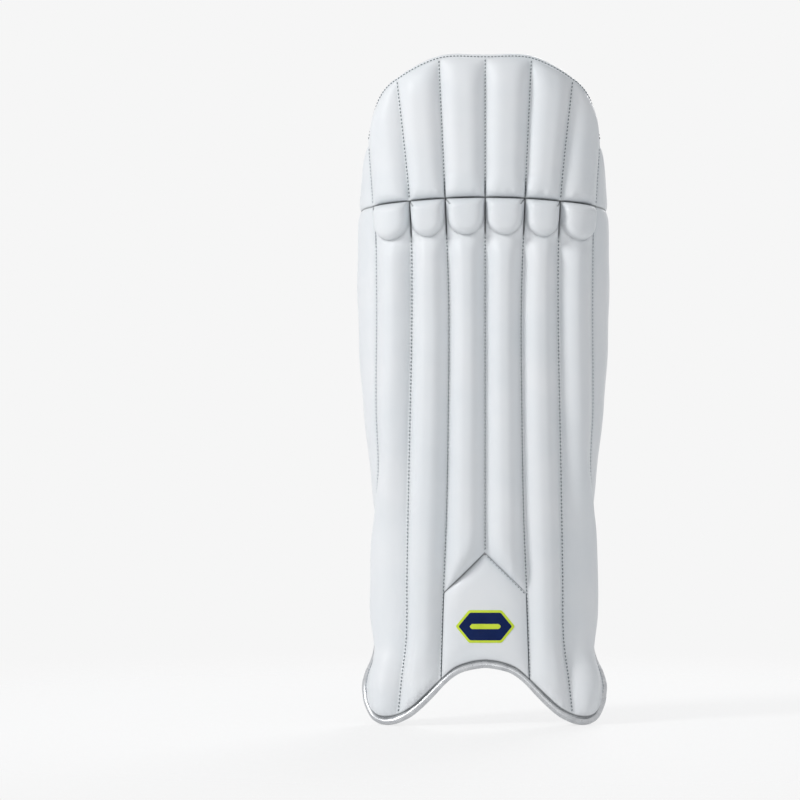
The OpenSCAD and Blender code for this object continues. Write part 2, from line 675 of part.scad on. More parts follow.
// Arc along the strap, from distance s0 to s1 behind bar B, at distance r beyond its middle
function behind(level, r, s0, s1) =
    [for (t = [0:0.1:1])
        around(level, strap_radius(level) + r, fold_angle(level) + arc_turn(level, mix(s0, s1, t)))];
tail_start = return_length + patch_gap;
patch_start = tail_start + 4;
patch_end = tail_start + tail_length - 6;
module tail(level) {
    color(webbing_color)
        webbing(level) strip(behind(level, tail_n, tail_start, tail_start + tail_length), webbing_t);
}
patch_margin = 3;
module patch(level, r) {
    translate([0, 0, level[0] - webbing_w / 2 + patch_margin])
        linear_extrude(webbing_w - 2 * patch_margin)
            strip(behind(level, r, patch_start, patch_end), patch_t);
}
module loop_patch(level) {
    color(grey_color) patch(level, webbing_t / 2 + sewn_gap + patch_t / 2);
}
module hook_patch(level) {
    color(grey_color) patch(level, webbing_t / 2 + sewn_gap + 3 / 2 * patch_t + patch_gap);
}
// Short tab: anchored in the +X wing, with a sewn loop round ring bar A
module tab(level) {
    a = bar_a(level);
    loop_r = ring_bar_r + loop_clear;
    path = concat(
        anchor_path(level[0]), bend_path(level), [a - (loop_r + 0.4) * dir(bend_end_heading(level))]
    );
    color(webbing_color)
        difference() {
            union() {
                webbing(level) strip(path, webbing_t);
                translate([a[0], a[1], level[0] - webbing_w / 2])
                    cylinder(r = loop_r + webbing_t, h = webbing_w);
            }
            translate([a[0], a[1], level[0] - webbing_w / 2 - 1]) cylinder(r = loop_r, h = webbing_w + 2);
        }
}
// Rectangular ring: two round bars joined by flattened ends
ring_gap_z = 0.9;
ring_end_h = 3.6;
module ring(level) {
    a = bar_a(level);
    b = bar_b(level);
    half = webbing_w / 2 + ring_gap_z;
    color(ring_color)
        translate([a[0], a[1], level[0]])
            rotate([0, 0, angle_of(b - a)]) {
                for (x = [0, ring_pitch])
                    translate([x, 0, -half - ring_end_h / 2])
                        cylinder(r = ring_bar_r, h = 2 * half + ring_end_h);
                for (z = [-half - ring_end_h, half])
                    translate([0, 0, z]) {
                        cylinder(r = ring_bar_r, h = ring_end_h);
                        translate([ring_pitch, 0, 0]) cylinder(r = ring_bar_r, h = ring_end_h);
                        translate([0, -ring_bar_r, 0]) cube([ring_pitch, 2 * ring_bar_r, ring_end_h]);
                    }
            }
}

// ---- Assembly -----------------------------------------------------------------------------

top_cover();
shin_cover_side(-1);  // shin_cover_left
shin_cover_center();
shin_cover_side(1);  // shin_cover_right
instep_panel();
wing_cover(-1);  // wing_cover_left
wing_cover(1);  // wing_cover_right
for (k = [1:6]) {
    top_fill(k);
    knuckle_fill(k);
    cane(k);
}
instep_fill();
shin_backing();
instep_backing();
wing_foam(-1);  // wing_foam_left
wing_foam(1);  // wing_foam_right
back_lining();
instep_lining();
wing_lining(-1);  // wing_lining_left
wing_lining(1);  // wing_lining_right
bolster_core();
bolster_cover();
mesh_strip(-1);  // mesh_strip_left
mesh_strip(1);  // mesh_strip_right
center_band();
band_tip();
side_roll(-1);  // side_roll_left
side_roll(1);  // side_roll_right
top_binding();
instep_binding();
instep_piping();
strap(upper);  // upper_strap
tail(upper);  // upper_tail
tab(upper);  // upper_tab
ring(upper);  // upper_ring
loop_patch(upper);  // upper_loop_patch
hook_patch(upper);  // upper_hook_patch
strap(lower);  // lower_strap
tail(lower);  // lower_tail
tab(lower);  // lower_tab
ring(lower);  // lower_ring
loop_patch(lower);  // lower_loop_patch
hook_patch(lower);  // lower_hook_patch
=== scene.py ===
"""Looks of the wicket-keeping leg pad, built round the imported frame. Lengths are millimetres until make()."""

import math

import bpy
import numpy as np
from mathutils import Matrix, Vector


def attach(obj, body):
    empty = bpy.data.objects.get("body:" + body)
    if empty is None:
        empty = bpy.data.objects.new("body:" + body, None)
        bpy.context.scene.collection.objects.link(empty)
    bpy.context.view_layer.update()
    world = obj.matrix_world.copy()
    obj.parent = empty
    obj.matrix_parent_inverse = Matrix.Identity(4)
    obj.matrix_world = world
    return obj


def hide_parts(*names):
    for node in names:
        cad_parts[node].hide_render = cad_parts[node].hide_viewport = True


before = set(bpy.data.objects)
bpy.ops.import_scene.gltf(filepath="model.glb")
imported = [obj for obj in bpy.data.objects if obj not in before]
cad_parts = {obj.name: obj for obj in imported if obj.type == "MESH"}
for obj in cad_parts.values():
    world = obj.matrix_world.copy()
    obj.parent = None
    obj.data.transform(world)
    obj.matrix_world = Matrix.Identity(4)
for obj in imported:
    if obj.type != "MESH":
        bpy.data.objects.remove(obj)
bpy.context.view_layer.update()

MM = 0.001

# ---- Shell of the pad: the same stations as the part's source

PAD_HEIGHT = 660
WAIST = dict(instep=127.0, ankle=105.0, calf=123.5)
FRONT_TURN, CORNER_TURN = 12.0, 80.0
CORNER_RADIUS = 63.5
LEG_AXIS_Y = 76.0
FLARE, FLARE_TOP_Z = 16.0, 120.0
KNEE_SEAM_Z, KNEE_DROP = 519.0, 7.5
CHEVRON_APEX_Z, CHEVRON_SHOULDER_Z = 169.0, 129.0
RIB_RISE, TOP_RISE, INSTEP_RISE = 10.5, 9.0, 5.0
SEAM_N = 2.0
EDGE_CAP, EDGE_GAP = 4.0, 0.9
WING_BOTTOM_Z, WING_TOP_Z = 132.0, 576.0
BACK_N = -7.5
LINING_N = BACK_N - 0.4


def arrays(*values):
    """The values as arrays of one shape."""
    return np.broadcast_arrays(*(np.asarray(v, float) for v in values))


def grid(a, b):
    return np.meshgrid(a, b, indexing="ij")


def mix(a, b, t):
    return a + (b - a) * t


def to_ankle(share):
    return mix(WAIST["instep"], WAIST["ankle"], share)


def to_calf(share):
    return mix(WAIST["ankle"], WAIST["calf"], share)


WIDTH = [
    (0, to_ankle(0)), (33, to_ankle(0)), (50, to_ankle(0.36)), (62, to_ankle(0.72)),
    (76, to_ankle(0.93)), (100, to_ankle(1)), (190, to_ankle(1)), (227, to_calf(0.19)),
    (274, to_calf(0.46)), (322, to_calf(0.73)), (369, to_calf(0.92)), (430, to_calf(1)),
    (480, to_calf(1) - 0.5), (535, to_calf(1) - 3), (600, to_calf(1) - 5.5), (660, to_calf(1) - 8),
]
SIDE = [(0, 95), (200, 98), (300, 105), (430, 138), (660, 140)]
INNER_SEAM = [(40, 43.5), (130, 40.6), (207, 37.6), (300, 36), (415, 35.4), (516, 39), (658, 45.4)]
OUTER_SEAM = [
    (0, 86), (40, 82), (84, 76.4), (145, 75.6), (251, 74), (430, 71.5), (516, 73.8), (640, 86),
]
WING_SEAM = [
    (8, 50), (31, 56), (66, 76), (102, 88), (134, 90), (193, 84), (250, 64), (300, 58),
    (380, 49.5), (480, 49.5), (511, 55.5), (575, 68), (605, 74), (640, 82),
]
WING_REAR = [
    (132, 102), (200, 102.5), (260, 104), (300, 103.5), (350, 101.5), (400, 99.5), (480, 98.5),
    (528, 94), (560, 86), (580, 80),
]
TOP_EDGE = [(0, 0), (1, -1), (2, -21), (2.4, -35), (2.7, -54), (3, WING_TOP_Z - PAD_HEIGHT + EDGE_CAP)]
BOTTOM_EDGE = [
    (0, 62), (0.33, 60), (0.7, 54), (1, 43), (1.4, 27), (1.7, 15.5), (2, 8.4), (2.35, 5.6),
    (2.7, 7.5), (3, 15),
]


def curve_at(stations, t):
    """Smooth curve through the stations (t, value)."""
    p = np.array(stations, float)
    x, y = p[:, 0], p[:, 1]
    t = np.clip(np.asarray(t, float), x[0], x[-1])
    i = np.clip(np.searchsorted(x, t, side="left") - 1, 0, len(x) - 2)
    slope = np.empty(len(x))
    slope[1:-1] = (y[2:] - y[:-2]) / (x[2:] - x[:-2])
    slope[0], slope[-1] = (y[1] - y[0]) / (x[1] - x[0]), (y[-1] - y[-2]) / (x[-1] - x[-2])
    h = x[i + 1] - x[i]
    u = (t - x[i]) / h
    return (
        (2 * u**3 - 3 * u**2 + 1) * y[i] + (u**3 - 2 * u**2 + u) * h * slope[i]
        + (3 * u**2 - 2 * u**3) * y[i + 1] + (u**3 - u**2) * h * slope[i + 1]
    )


def sin(deg):
    return np.sin(np.radians(deg))


def cos(deg):
    return np.cos(np.radians(deg))


def front_x(z):
    return (
        curve_at(WIDTH, z) - CORNER_RADIUS * (sin(CORNER_TURN) - sin(FRONT_TURN))
        - curve_at(SIDE, z) * (1 - sin(CORNER_TURN))
    )


def front_radius(z):
    return front_x(z) / sin(FRONT_TURN)


def lean(z):
    return -FLARE * np.clip(1 - z / FLARE_TOP_Z, 0, None) ** 1.6


def at(h, z, n=0.0):
    """Point at heading h, height z and distance n outside the shell."""
    h, z, n = arrays(h, z, n)
    g = np.abs(h)
    r, side = front_radius(z), curve_at(SIDE, z)
    a, b, c = np.minimum(g, FRONT_TURN), np.clip(g, FRONT_TURN, CORNER_TURN), np.maximum(g, CORNER_TURN)
    x = r * sin(a) + CORNER_RADIUS * (sin(b) - sin(FRONT_TURN)) + side * (sin(c) - sin(CORNER_TURN))
    y = (
        r * (1 - cos(a)) + CORNER_RADIUS * (cos(FRONT_TURN) - cos(b))
        + side * (cos(CORNER_TURN) - cos(c))
    )
    return np.stack([np.sign(h) * (x + n * sin(g)), y - n * cos(g) + lean(z) - LEG_AXIS_Y, z], -1)


def outward(h):
    h = np.asarray(h, float)
    return np.stack([sin(h), -cos(h), np.zeros_like(h)], -1)


def arc_length(h, z):
    g = np.abs(h)
    return np.sign(h) * np.pi / 180 * (
        front_radius(z) * np.minimum(g, FRONT_TURN)
        + CORNER_RADIUS * np.clip(g - FRONT_TURN, 0, CORNER_TURN - FRONT_TURN)
        + curve_at(SIDE, z) * np.maximum(g - CORNER_TURN, 0)
    )


def heading_at(s, z):
    g = np.abs(s)
    first, second = arc_length(FRONT_TURN, z), arc_length(CORNER_TURN, z)
    turn = np.where(
        g <= first, np.degrees(g / front_radius(z)),
        np.where(
            g <= second, FRONT_TURN + np.degrees((g - first) / CORNER_RADIUS),
            CORNER_TURN + np.degrees((g - second) / curve_at(SIDE, z)),
        ),
    )
    return np.sign(s) * turn


def heading_of(x, z):
    flat = np.degrees(np.arcsin(np.clip(x / front_radius(z), -1, 1)))
    bent = np.degrees(np.arcsin(np.clip(sin(FRONT_TURN) + (x - front_x(z)) / CORNER_RADIUS, 0, 0.98)))
    return np.where(x <= front_x(z), flat, bent)


def seam_arcs(z):
    """Arc lengths of the seams 0 to 3 at height z."""
    z = np.asarray(z, float)
    return np.stack([
        np.zeros_like(z),
        arc_length(heading_of(curve_at(INNER_SEAM, z), z), z),
        arc_length(heading_of(curve_at(OUTER_SEAM, z), z), z),
        arc_length(curve_at(WING_SEAM, z), z),
    ])


def pick(arcs, k):
    return np.take_along_axis(arcs, k[None], 0)[0]


def arc_at(c, z):
    """Signed arc length and channel width at channel coordinate c: whole numbers are seams."""
    c, z = arrays(c, z)
    g = np.abs(c)
    k = np.minimum(np.floor(g), 2).astype(int)
    arcs = seam_arcs(z)
    low, high = pick(arcs, k), pick(arcs, k + 1)
    return np.sign(c) * mix(low, high, g - k), high - low


def channel(c, z):
    return heading_at(arc_at(c, z)[0], z)


def channel_at_arc(s, z):
    """Channel coordinate of the point at arc length s."""
    arcs, g = seam_arcs(z), np.abs(s)
    k = np.clip((g[None] >= arcs).sum(0) - 1, 0, 2)
    low = pick(arcs, k)
    return np.sign(s) * (k + (g - low) / (pick(arcs, k + 1) - low))


def top_z(c):
    return PAD_HEIGHT - EDGE_CAP + curve_at(TOP_EDGE, np.abs(c))


def bottom_z(c):
    return curve_at(BOTTOM_EDGE, np.abs(c))


def knee_z(c):
    return KNEE_SEAM_Z - KNEE_DROP * (np.asarray(c) / 3) ** 2


def chevron_z(c):
    return mix(CHEVRON_APEX_Z, CHEVRON_SHOULDER_Z, np.minimum(np.abs(c), 1))


# ---- Soft profiles and gentle unevenness


def pillow(u, fullness=2.2, rise=0.6):
    """Height of a stuffed form, 0 at its edge and 1 from u = 1 on."""
    return (1 - (1 - np.clip(u, 0, 1)) ** fullness) ** rise


def quarter(u):
    """Quarter circle from 0 to 1."""
    return np.sqrt(1 - (1 - np.clip(u, 0, 1)) ** 2)


def smooth(u):
    u = np.clip(u, 0, 1)
    return u * u * (3 - 2 * u)


def waves(t, seed, length):
    """Even-tempered noise along a line, about -1 to 1."""
    rng = np.random.default_rng(seed)
    total = 0
    for _ in range(5):
        total = total + np.sin(2 * np.pi * t / (length * rng.uniform(0.6, 1.7)) + rng.uniform(0, 6.3))
    return total / 2.6


def dents(s, z, seed, length):
    """The same over a surface."""
    rng = np.random.default_rng(seed)
    total = 0
    for _ in range(7):
        a, size = rng.uniform(0, np.pi), length * rng.uniform(0.7, 1.5)
        total = total + np.sin(2 * np.pi * (s * np.cos(a) + z * np.sin(a)) / size + rng.uniform(0, 6.3))
    return total / 3.2


def spaced(count, power=1.5):
    """Numbers from 0 to 1, closer together at both ends."""
    u = np.linspace(-1, 1, count)
    return (np.sign(u) * (1 - (1 - np.abs(u)) ** power) + 1) / 2


# ---- Meshes


def volume(points, groups):
    total = 0.0
    for g in groups:
        a = points[g[:, 0]]
        for k in range(1, g.shape[1] - 1):
            total += np.einsum("ij,ij->i", a, np.cross(points[g[:, k]], points[g[:, k + 1]])).sum()
    return total


def make(
    name, points, groups, mat, slot=None, body="root", replaces=(), sharp=50, fields=None, fill=None,
    closed_form=True,
):
    """Mesh object from points in millimetres and arrays of faces, riding on its body."""
    points = np.asarray(points, float).reshape(-1, 3) * MM
    groups = [np.asarray(g, np.int32) for g in groups]
    if closed_form and volume(points, groups) < 0:
        groups = [g[:, ::-1] for g in groups]
    mesh = bpy.data.meshes.new(name)
    mesh.vertices.add(len(points))
    mesh.vertices.foreach_set("co", points.astype(np.float32).ravel())
    loops = np.concatenate([g.ravel() for g in groups])
    sizes = np.concatenate([np.full(len(g), g.shape[1]) for g in groups])
    mesh.loops.add(len(loops))
    mesh.loops.foreach_set("vertex_index", loops)
    mesh.polygons.add(len(sizes))
    mesh.polygons.foreach_set("loop_start", np.concatenate([[0], np.cumsum(sizes)[:-1]]).astype(np.int32))
    mesh.polygons.foreach_set("use_smooth", np.ones(len(sizes), bool))
    mesh.update(calc_edges=True)
    mesh.set_sharp_from_angle(angle=math.radians(sharp))
    for key, values in (fields or {}).items():
        values = np.broadcast_to(values, (len(points),)) if np.ndim(values) == 0 else np.ravel(values)
        mesh.attributes.new(key, "FLOAT", "POINT").data.foreach_set("value", values.astype(np.float32))
    mesh.materials.append(mat)
    obj = bpy.data.objects.new(name, mesh)
    bpy.context.scene.collection.objects.link(obj)
    if replaces:
        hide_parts(*replaces)
    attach(obj, body)
    return obj


def grid_faces(rows, cols, start=0):
    i, j = grid(np.arange(rows - 1), np.arange(cols - 1))
    a = start + i * cols + j
    return np.stack([a, a + cols, a + cols + 1, a + 1], -1).reshape(-1, 4)


def closed(outer, inner):
    """Points and faces of the solid between two grids."""
    rows, cols = outer.shape[:2]
    count = rows * cols
    index = np.arange(count).reshape(rows, cols)
    rim = np.concatenate([index[:-1, 0], index[-1, :-1], index[:0:-1, -1], index[0, :0:-1]])
    after = np.roll(rim, -1)
    wall = np.stack([rim, after, after + count, rim + count], -1)[:, ::-1]
    points = np.concatenate([outer.reshape(-1, 3), inner.reshape(-1, 3)])
    return points, [grid_faces(rows, cols), grid_faces(rows, cols, count)[:, ::-1], wall]


def sheet(name, outer, inner, mat, s, z, crease_shade=0.0, gap=0.0, **kw):
    """Closed sheet between two grids, with its lengths across and along, and the fields of painted shade in its
    creases and gaps.
    """
    points, faces = closed(outer, inner)
    fields = {"across": s, "along": z, "crease_shade": crease_shade, "gap": gap}
    fields = {k: np.tile(np.broadcast_to(v, z.shape).ravel(), 2) for k, v in fields.items()}
    return make(name, points, faces, mat, fields=fields, **kw)


def tube(rings, loop=False):
    """Points and faces of a solid swept along rings (M, K, 3)."""
    m, k = rings.shape[:2]
    i, j = grid(np.arange(m if loop else m - 1), np.arange(k))
    a, b = i * k, (i + 1) % m * k
    quads = np.stack([a + j, b + j, b + (j + 1) % k, a + (j + 1) % k], -1).reshape(-1, 4)
    faces = [quads]
    if not loop:
        faces.append(np.array([np.arange(k)]))
        faces.append(np.array([(m - 1) * k + np.arange(k)[::-1]]))
    return rings.reshape(-1, 3), faces


def unit(v):
    return v / np.linalg.norm(v, axis=-1, keepdims=True)


def lengths(line):
    """Length along a line at each of its points."""
    return np.concatenate([[0], np.cumsum(np.linalg.norm(np.diff(line, axis=0), axis=1))])


def resample(points, step, *others):
    """Points at equal steps along a line, with the other arrays carried along."""
    s = lengths(points)
    t = np.linspace(0, s[-1], max(2, int(round(s[-1] / step)) + 1))
    return [np.stack([np.interp(t, s, a[:, i]) for i in range(a.shape[1])], -1) for a in (points, *others)]


def even_loop(line, step):
    """Closed outline with its points at equal steps."""
    return resample(np.concatenate([line, line[:1]]), step)[0][:-1]


def swept(name, rings, mat, across=None, along=None, loop=False, **kw):
    """Solid swept along rings, with its lengths round and along."""
    m, k = rings.shape[:2]
    across = lengths(rings[0]) if across is None else across
    along = lengths(rings[:, 0]) if along is None else along
    points, faces = tube(rings, loop)
    fields = {"across": np.tile(across, m), "along": np.repeat(along, k), "crease_shade": 0.0}
    return make(name, points, faces, mat, fields=fields, **kw)


class Thread:
    """Gathers stitches, each a small arched capsule, into one mesh."""

    SPAN = np.array([-0.5, -0.42, -0.18, 0.18, 0.42, 0.5])
    GIRTH = np.array([0.35, 0.85, 1.0, 1.0, 0.85, 0.35])
    ARCH = np.array([-1.0, -0.2, 0.5, 0.5, -0.2, -1.0])
    SIDES = 6

    def __init__(self):
        self.rings = []

    def line(self, points, up, pitch=3.6, length=2.2, radius=0.5, turn=0.0, zigzag=0.0):
        """A row of stitches, each turned in the surface by turn degrees, or to and fro by zigzag."""
        p, up = resample(points, pitch, up)
        mid = (p[1:] + p[:-1]) / 2
        along, up = unit(p[1:] - p[:-1]), unit((up[1:] + up[:-1]) / 2)
        up = unit(up - np.sum(up * along, -1, keepdims=True) * along)
        side = np.cross(along, up)
        turns = turn + zigzag * (-1.0) ** np.arange(len(mid))[:, None]
        self.add(mid, along * cos(turns) + side * sin(turns), up, length, radius)

    def add(self, mid, way, up, length, radius):
        side = np.cross(way, up)
        a = np.arange(self.SIDES) * 2 * np.pi / self.SIDES
        ring = np.cos(a)[:, None, None] * up[None] + np.sin(a)[:, None, None] * side[None]
        axis = (
            mid[None] + way[None] * (self.SPAN * length)[:, None, None]
            + up[None] * (self.ARCH * radius)[:, None, None]
        )
        rings = axis[:, None] + ring[None] * (self.GIRTH * radius)[:, None, None, None]
        self.rings.append(np.transpose(rings, (2, 0, 1, 3)))

    def build(self, name, mat, body="root"):
        rings = np.concatenate(self.rings)
        count, m, k = rings.shape[:3]
        faces = tube(rings[0])[1]
        start = np.arange(count)[:, None, None] * m * k
        groups = [(start + f[None]).reshape(-1, f.shape[1]) for f in faces]
        return make(name, rings, groups, mat, body=body, sharp=75)


# ---- Materials


def srgb(r, g, b):
    """Linear colour from 0-255 display values."""
    c = np.array([r, g, b]) / 255
    return tuple(np.where(c <= 0.04045, c / 12.92, ((c + 0.055) / 1.055) ** 2.4)) + (1.0,)


class Nodes:
    """A small builder of shader nodes."""

    def __init__(self, tree):
        self.tree = tree

    def node(self, kind, **settings):
        made = self.tree.nodes.new("ShaderNode" + kind)
        for key, value in settings.items():
            setattr(made, key, value)
        return made

    def feed(self, made, values):
        """Gives inputs, by name or place, a value or a link."""
        for key, value in values.items():
            if isinstance(value, bpy.types.NodeSocket):
                self.tree.links.new(value, made.inputs[key])
            else:
                made.inputs[key].default_value = value
        return made

    def math(self, operation, a, b=0.0):
        return self.feed(self.node("Math", operation=operation), {0: a, 1: b}).outputs[0]

    def times(self, a, b):
        return self.math("MULTIPLY", a, b)

    def inside(self, value, low, high):
        """1 where value lies between low and high."""
        return self.times(self.math("GREATER_THAN", value, low), self.math("LESS_THAN", value, high))

    def span(self, value, low, high, to_low=0.0, to_high=1.0):
        ends = {"Value": value, "From Min": low, "From Max": high, "To Min": to_low, "To Max": to_high}
        return self.feed(self.node("MapRange"), ends).outputs["Result"]

    def mixed(self, share, a, b):
        """Mix of two shaders."""
        return self.feed(self.node("MixShader"), {0: share, 1: a, 2: b}).outputs[0]

    def seen_ray(self):
        """1 for the camera's rays and for those off gloss or through glass."""
        ray = self.node("LightPath").outputs
        other = self.math("MAXIMUM", ray["Is Glossy Ray"], ray["Is Transmission Ray"])
        return self.math("MAXIMUM", ray["Is Camera Ray"], other)


class Shader(Nodes):
    """Nodes round one Principled BSDF."""

    def __init__(self, name, **sockets):
        self.mat = bpy.data.materials.new(name)
        self.mat.use_nodes = True
        super().__init__(self.mat.node_tree)
        self.bsdf = self.tree.nodes["Principled BSDF"]
        self.feed(self.bsdf, {key.replace("_", " "): value for key, value in sockets.items()})
        self.last_bump = None

    def field(self, name):
        return self.node("Attribute", attribute_name=name).outputs["Fac"]

    def place(self, stretch=(1, 1, 1)):
        coords = self.node("TexCoord").outputs["Object"]
        return self.feed(self.node("Mapping"), {"Vector": coords, "Scale": stretch}).outputs["Vector"]

    def noise(self, scale, detail=2.0, stretch=(1, 1, 1)):
        inputs = {"Vector": self.place(stretch), "Scale": scale, "Detail": detail}
        return self.feed(self.node("TexNoise"), inputs).outputs["Fac"]

    def cells(self, scale):
        return self.feed(self.node("TexVoronoi"), {"Vector": self.place(), "Scale": scale}).outputs["Distance"]

    def cloud(self, scale, detail, low=0.0, high=1.0, edge=0.3):
        """Soft noise between two numbers."""
        return self.span(self.noise(scale, detail), edge, 1 - edge, low, high)

    def blend(self, share, a, b):
        return self.feed(self.node("Mix", data_type="RGBA"), {"Factor": share, 6: a, 7: b}).outputs[2]

    def tint(self, scale, detail, dark, pale, edge=0.3):
        """Colour that drifts between two display colours."""
        return self.blend(self.cloud(scale, detail, edge=edge), srgb(*dark), srgb(*pale))

    def shade(self, field, share, colour, dark):
        """Colour that turns dark where a field is high."""
        return self.blend(self.times(self.field(field), share), colour, srgb(*dark))

    def sine(self, value, period):
        return self.math("SINE", self.times(value, 2 * math.pi / period))

    def bump(self, height, strength, distance):
        made = self.feed(self.node("Bump"), {"Height": height, "Strength": strength, "Distance": distance})
        if self.last_bump:
            self.feed(made, {"Normal": self.last_bump})
        self.last_bump = made.outputs["Normal"]
        self.feed(self.bsdf, {"Normal": self.last_bump})

    def color(self, value):
        self.feed(self.bsdf, {"Base Color": value})

    def rough(self, value):
        self.feed(self.bsdf, {"Roughness": value})

    def weave(self, period=0.9, strength=0.25):
        """Plain weave along the fields across and along."""
        a, b = self.sine(self.field("across"), period), self.sine(self.field("along"), period)
        self.bump(self.times(a, b), strength, 0.0002)


def drifting(name, noise, dark, pale, grain, rough=None, edge=0.3, **sockets):
    """Shader of a drifting colour with grain: the arguments of a noise, its strength and its depth."""
    s = Shader(name, **sockets)
    s.color(s.tint(*noise, dark, pale, edge))
    if rough:
        s.rough(s.cloud(*rough))
    s.bump(s.noise(*grain[0]), *grain[1:])
    return s


def cover_leather():
    """White coated leather: fine grain, with painted shade in the seams and creases and a painted shadow in the
    gaps.
    """
    s = Shader("cover_leather", Specular_IOR_Level=0.4)
    # painted shade: the colour turns grey where the seam and crease field is high
    seam_shaded = s.shade("crease_shade", 0.16, s.tint(16, 3, (229, 233, 236), (236, 238, 240)), (160, 168, 172))
    # painted shadow: the colour turns nearly black along the gap field, in seam gaps, along the knee seam and
    # under overhanging edges
    s.color(s.shade("gap", 0.9, seam_shaded, (40, 46, 48)))
    s.rough(s.cloud(90, 3, 0.42, 0.54))
    s.bump(s.cells(1100), 0.10, 0.0002)
    s.bump(s.noise(420, 3), 0.12, 0.0002)
    return s.mat


def satin(name, dark, pale, rough=0.5, sheen=0.25, shine=0.5):
    s = drifting(
        name, (22, 3), dark, pale, ((70, 4), 0.15, 0.0012), (140, 2, rough - 0.05, rough + 0.07),
        Sheen_Weight=sheen, Sheen_Roughness=0.4, Specular_IOR_Level=shine,
    )
    s.weave()
    return s


def stripe_print(s, colour):
    """Plain wavy stripes in navy and lime on the upper lining."""
    across, along = s.field("across"), s.field("along")
    wave, rise, pitch = 64.0, 6.0, 11.0
    slanted = s.math("ADD", along, s.times(s.sine(across, wave), rise))
    turn = s.math("FRACT", s.times(slanted, 1 / pitch))
    block = s.times(s.inside(across, -66, 66), s.inside(slanted, 590, 634))
    navy = s.times(block, s.math("LESS_THAN", turn, 0.42))
    lime = s.times(block, s.inside(turn, 0.62, 0.74))
    return s.blend(lime, s.blend(navy, colour, srgb(40, 37, 62)), srgb(176, 214, 44))


def diamond_print(s, colour):
    """Small diamonds that fade out upwards, on the bolster's plain lower part."""
    across, along = s.field("across"), s.field("along")

    def cell(value, size):
        turn = s.math("FRACT", s.times(value, 1 / size))
        return s.math("ABSOLUTE", s.math("SUBTRACT", turn, 0.5))

    reach = s.span(along, 165, 262, 0.42, 0.10)
    spot = s.math("LESS_THAN", s.math("ADD", cell(across, 9.0), cell(along, 12.0)), reach)
    block = s.times(s.inside(across, -32, 32), s.inside(along, 158, 262))
    return s.blend(s.times(s.times(spot, block), 0.8), colour, srgb(52, 50, 70))


def lining_material(name, print_on=None):
    s = satin(name, (207, 206, 212), (216, 215, 221))
    colour = s.bsdf.inputs["Base Color"].links[0].from_socket
    if print_on:
        colour = print_on(s, colour)
    # painted shade: darker where the crease field is high, in the quilting seams, the bolster's grooves and the
    # roll's gathers
    s.color(s.shade("crease_shade", 0.5, colour, (140, 140, 150)))
    return s.mat


def air_mesh_material():
    """Knitted spacer fabric with rows of small dimples, darkened with painted shade."""
    s = Shader("air_mesh", Sheen_Weight=0.3, Roughness=0.75)
    across, size = s.field("across"), 3.6
    tilt = s.times(s.field("along"), math.sqrt(3) / 2)
    half = s.times(across, 0.5)
    ways = (across, s.math("ADD", half, tilt), s.math("SUBTRACT", half, tilt))
    a, b, c = (s.math("COSINE", s.times(way, 2 * math.pi / size)) for way in ways)
    dimple = s.span(s.math("ADD", a, s.math("ADD", b, c)), -0.5, 2.4)
    base = s.tint(30, 2, (212, 211, 219), (222, 221, 227))
    # painted shade: the dimples are darkened, and the quilting seams more so through the crease field
    s.color(s.shade("crease_shade", 0.8, s.blend(s.times(dimple, 0.9), base, srgb(128, 129, 140)), (88, 88, 98)))
    s.bump(s.math("SUBTRACT", 1.0, dimple), 0.8, 0.0008)
    s.weave(0.8, 0.2)
    return s.mat


def plain_cloth(name, dark, pale, rough=0.7, period=1.1, sheen=0.2, shine=0.3):
    s = drifting(
        name, (60, 3), dark, pale, ((260, 3), 0.25, 0.0004),
        Roughness=rough, Sheen_Weight=sheen, Specular_IOR_Level=shine,
    )
    s.weave(period, 0.35)
    return s.mat


def webbing_material():
    """Ribbed webbing: pale edges, lime lines between thin dark ones, navy middle."""
    s = Shader("striped_webbing", Sheen_Weight=0.1, Specular_IOR_Level=0.25)
    wander = s.times(s.sine(s.field("along"), 8.6), 0.25)
    off = s.math("ABSOLUTE", s.math("ADD", s.field("across"), wander))
    # painted shade: each colour is lighter on the rib crests and darker between them, in step with the rib bump
    rib = s.span(s.sine(s.field("along"), 2.2), -1, 1)
    navy = s.blend(rib, srgb(34, 29, 60), srgb(62, 54, 96))
    pale = s.blend(rib, srgb(196, 197, 204), srgb(222, 222, 228))
    lime = s.blend(rib, srgb(178, 222, 44), srgb(202, 244, 62))
    lime_from, lime_to, pale_from = 5.7, 8.6, 10.2
    colour = s.blend(s.inside(off, lime_from, lime_to), navy, lime)
    colour = s.blend(s.math("GREATER_THAN", off, pale_from), colour, pale)
    thin = s.math("ADD", s.inside(off, 5.1, lime_from), s.inside(off, lime_to, pale_from))
    s.color(s.blend(thin, colour, srgb(20, 20, 30)))
    s.rough(s.cloud(200, 2, 0.6, 0.72))
    s.bump(rib, 0.6, 0.0005)
    s.bump(s.sine(s.field("across"), 1.0), 0.3, 0.0002)
    return s.mat


def fuzz_material(name, dark, pale):
    """Hook-and-loop pile."""
    grain = ((1400, 3), 0.8, 0.0008)
    return drifting(name, (900, 3), dark, pale, grain, edge=0.35, Sheen_Weight=0.5, Roughness=0.9).mat


def thread_material(name, dark, pale):
    grain = ((2500, 2, (1, 1, 0.4)), 0.3, 0.0002)
    return drifting(name, (800, 2), dark, pale, grain, edge=0.35, Roughness=0.6, Sheen_Weight=0.2).mat


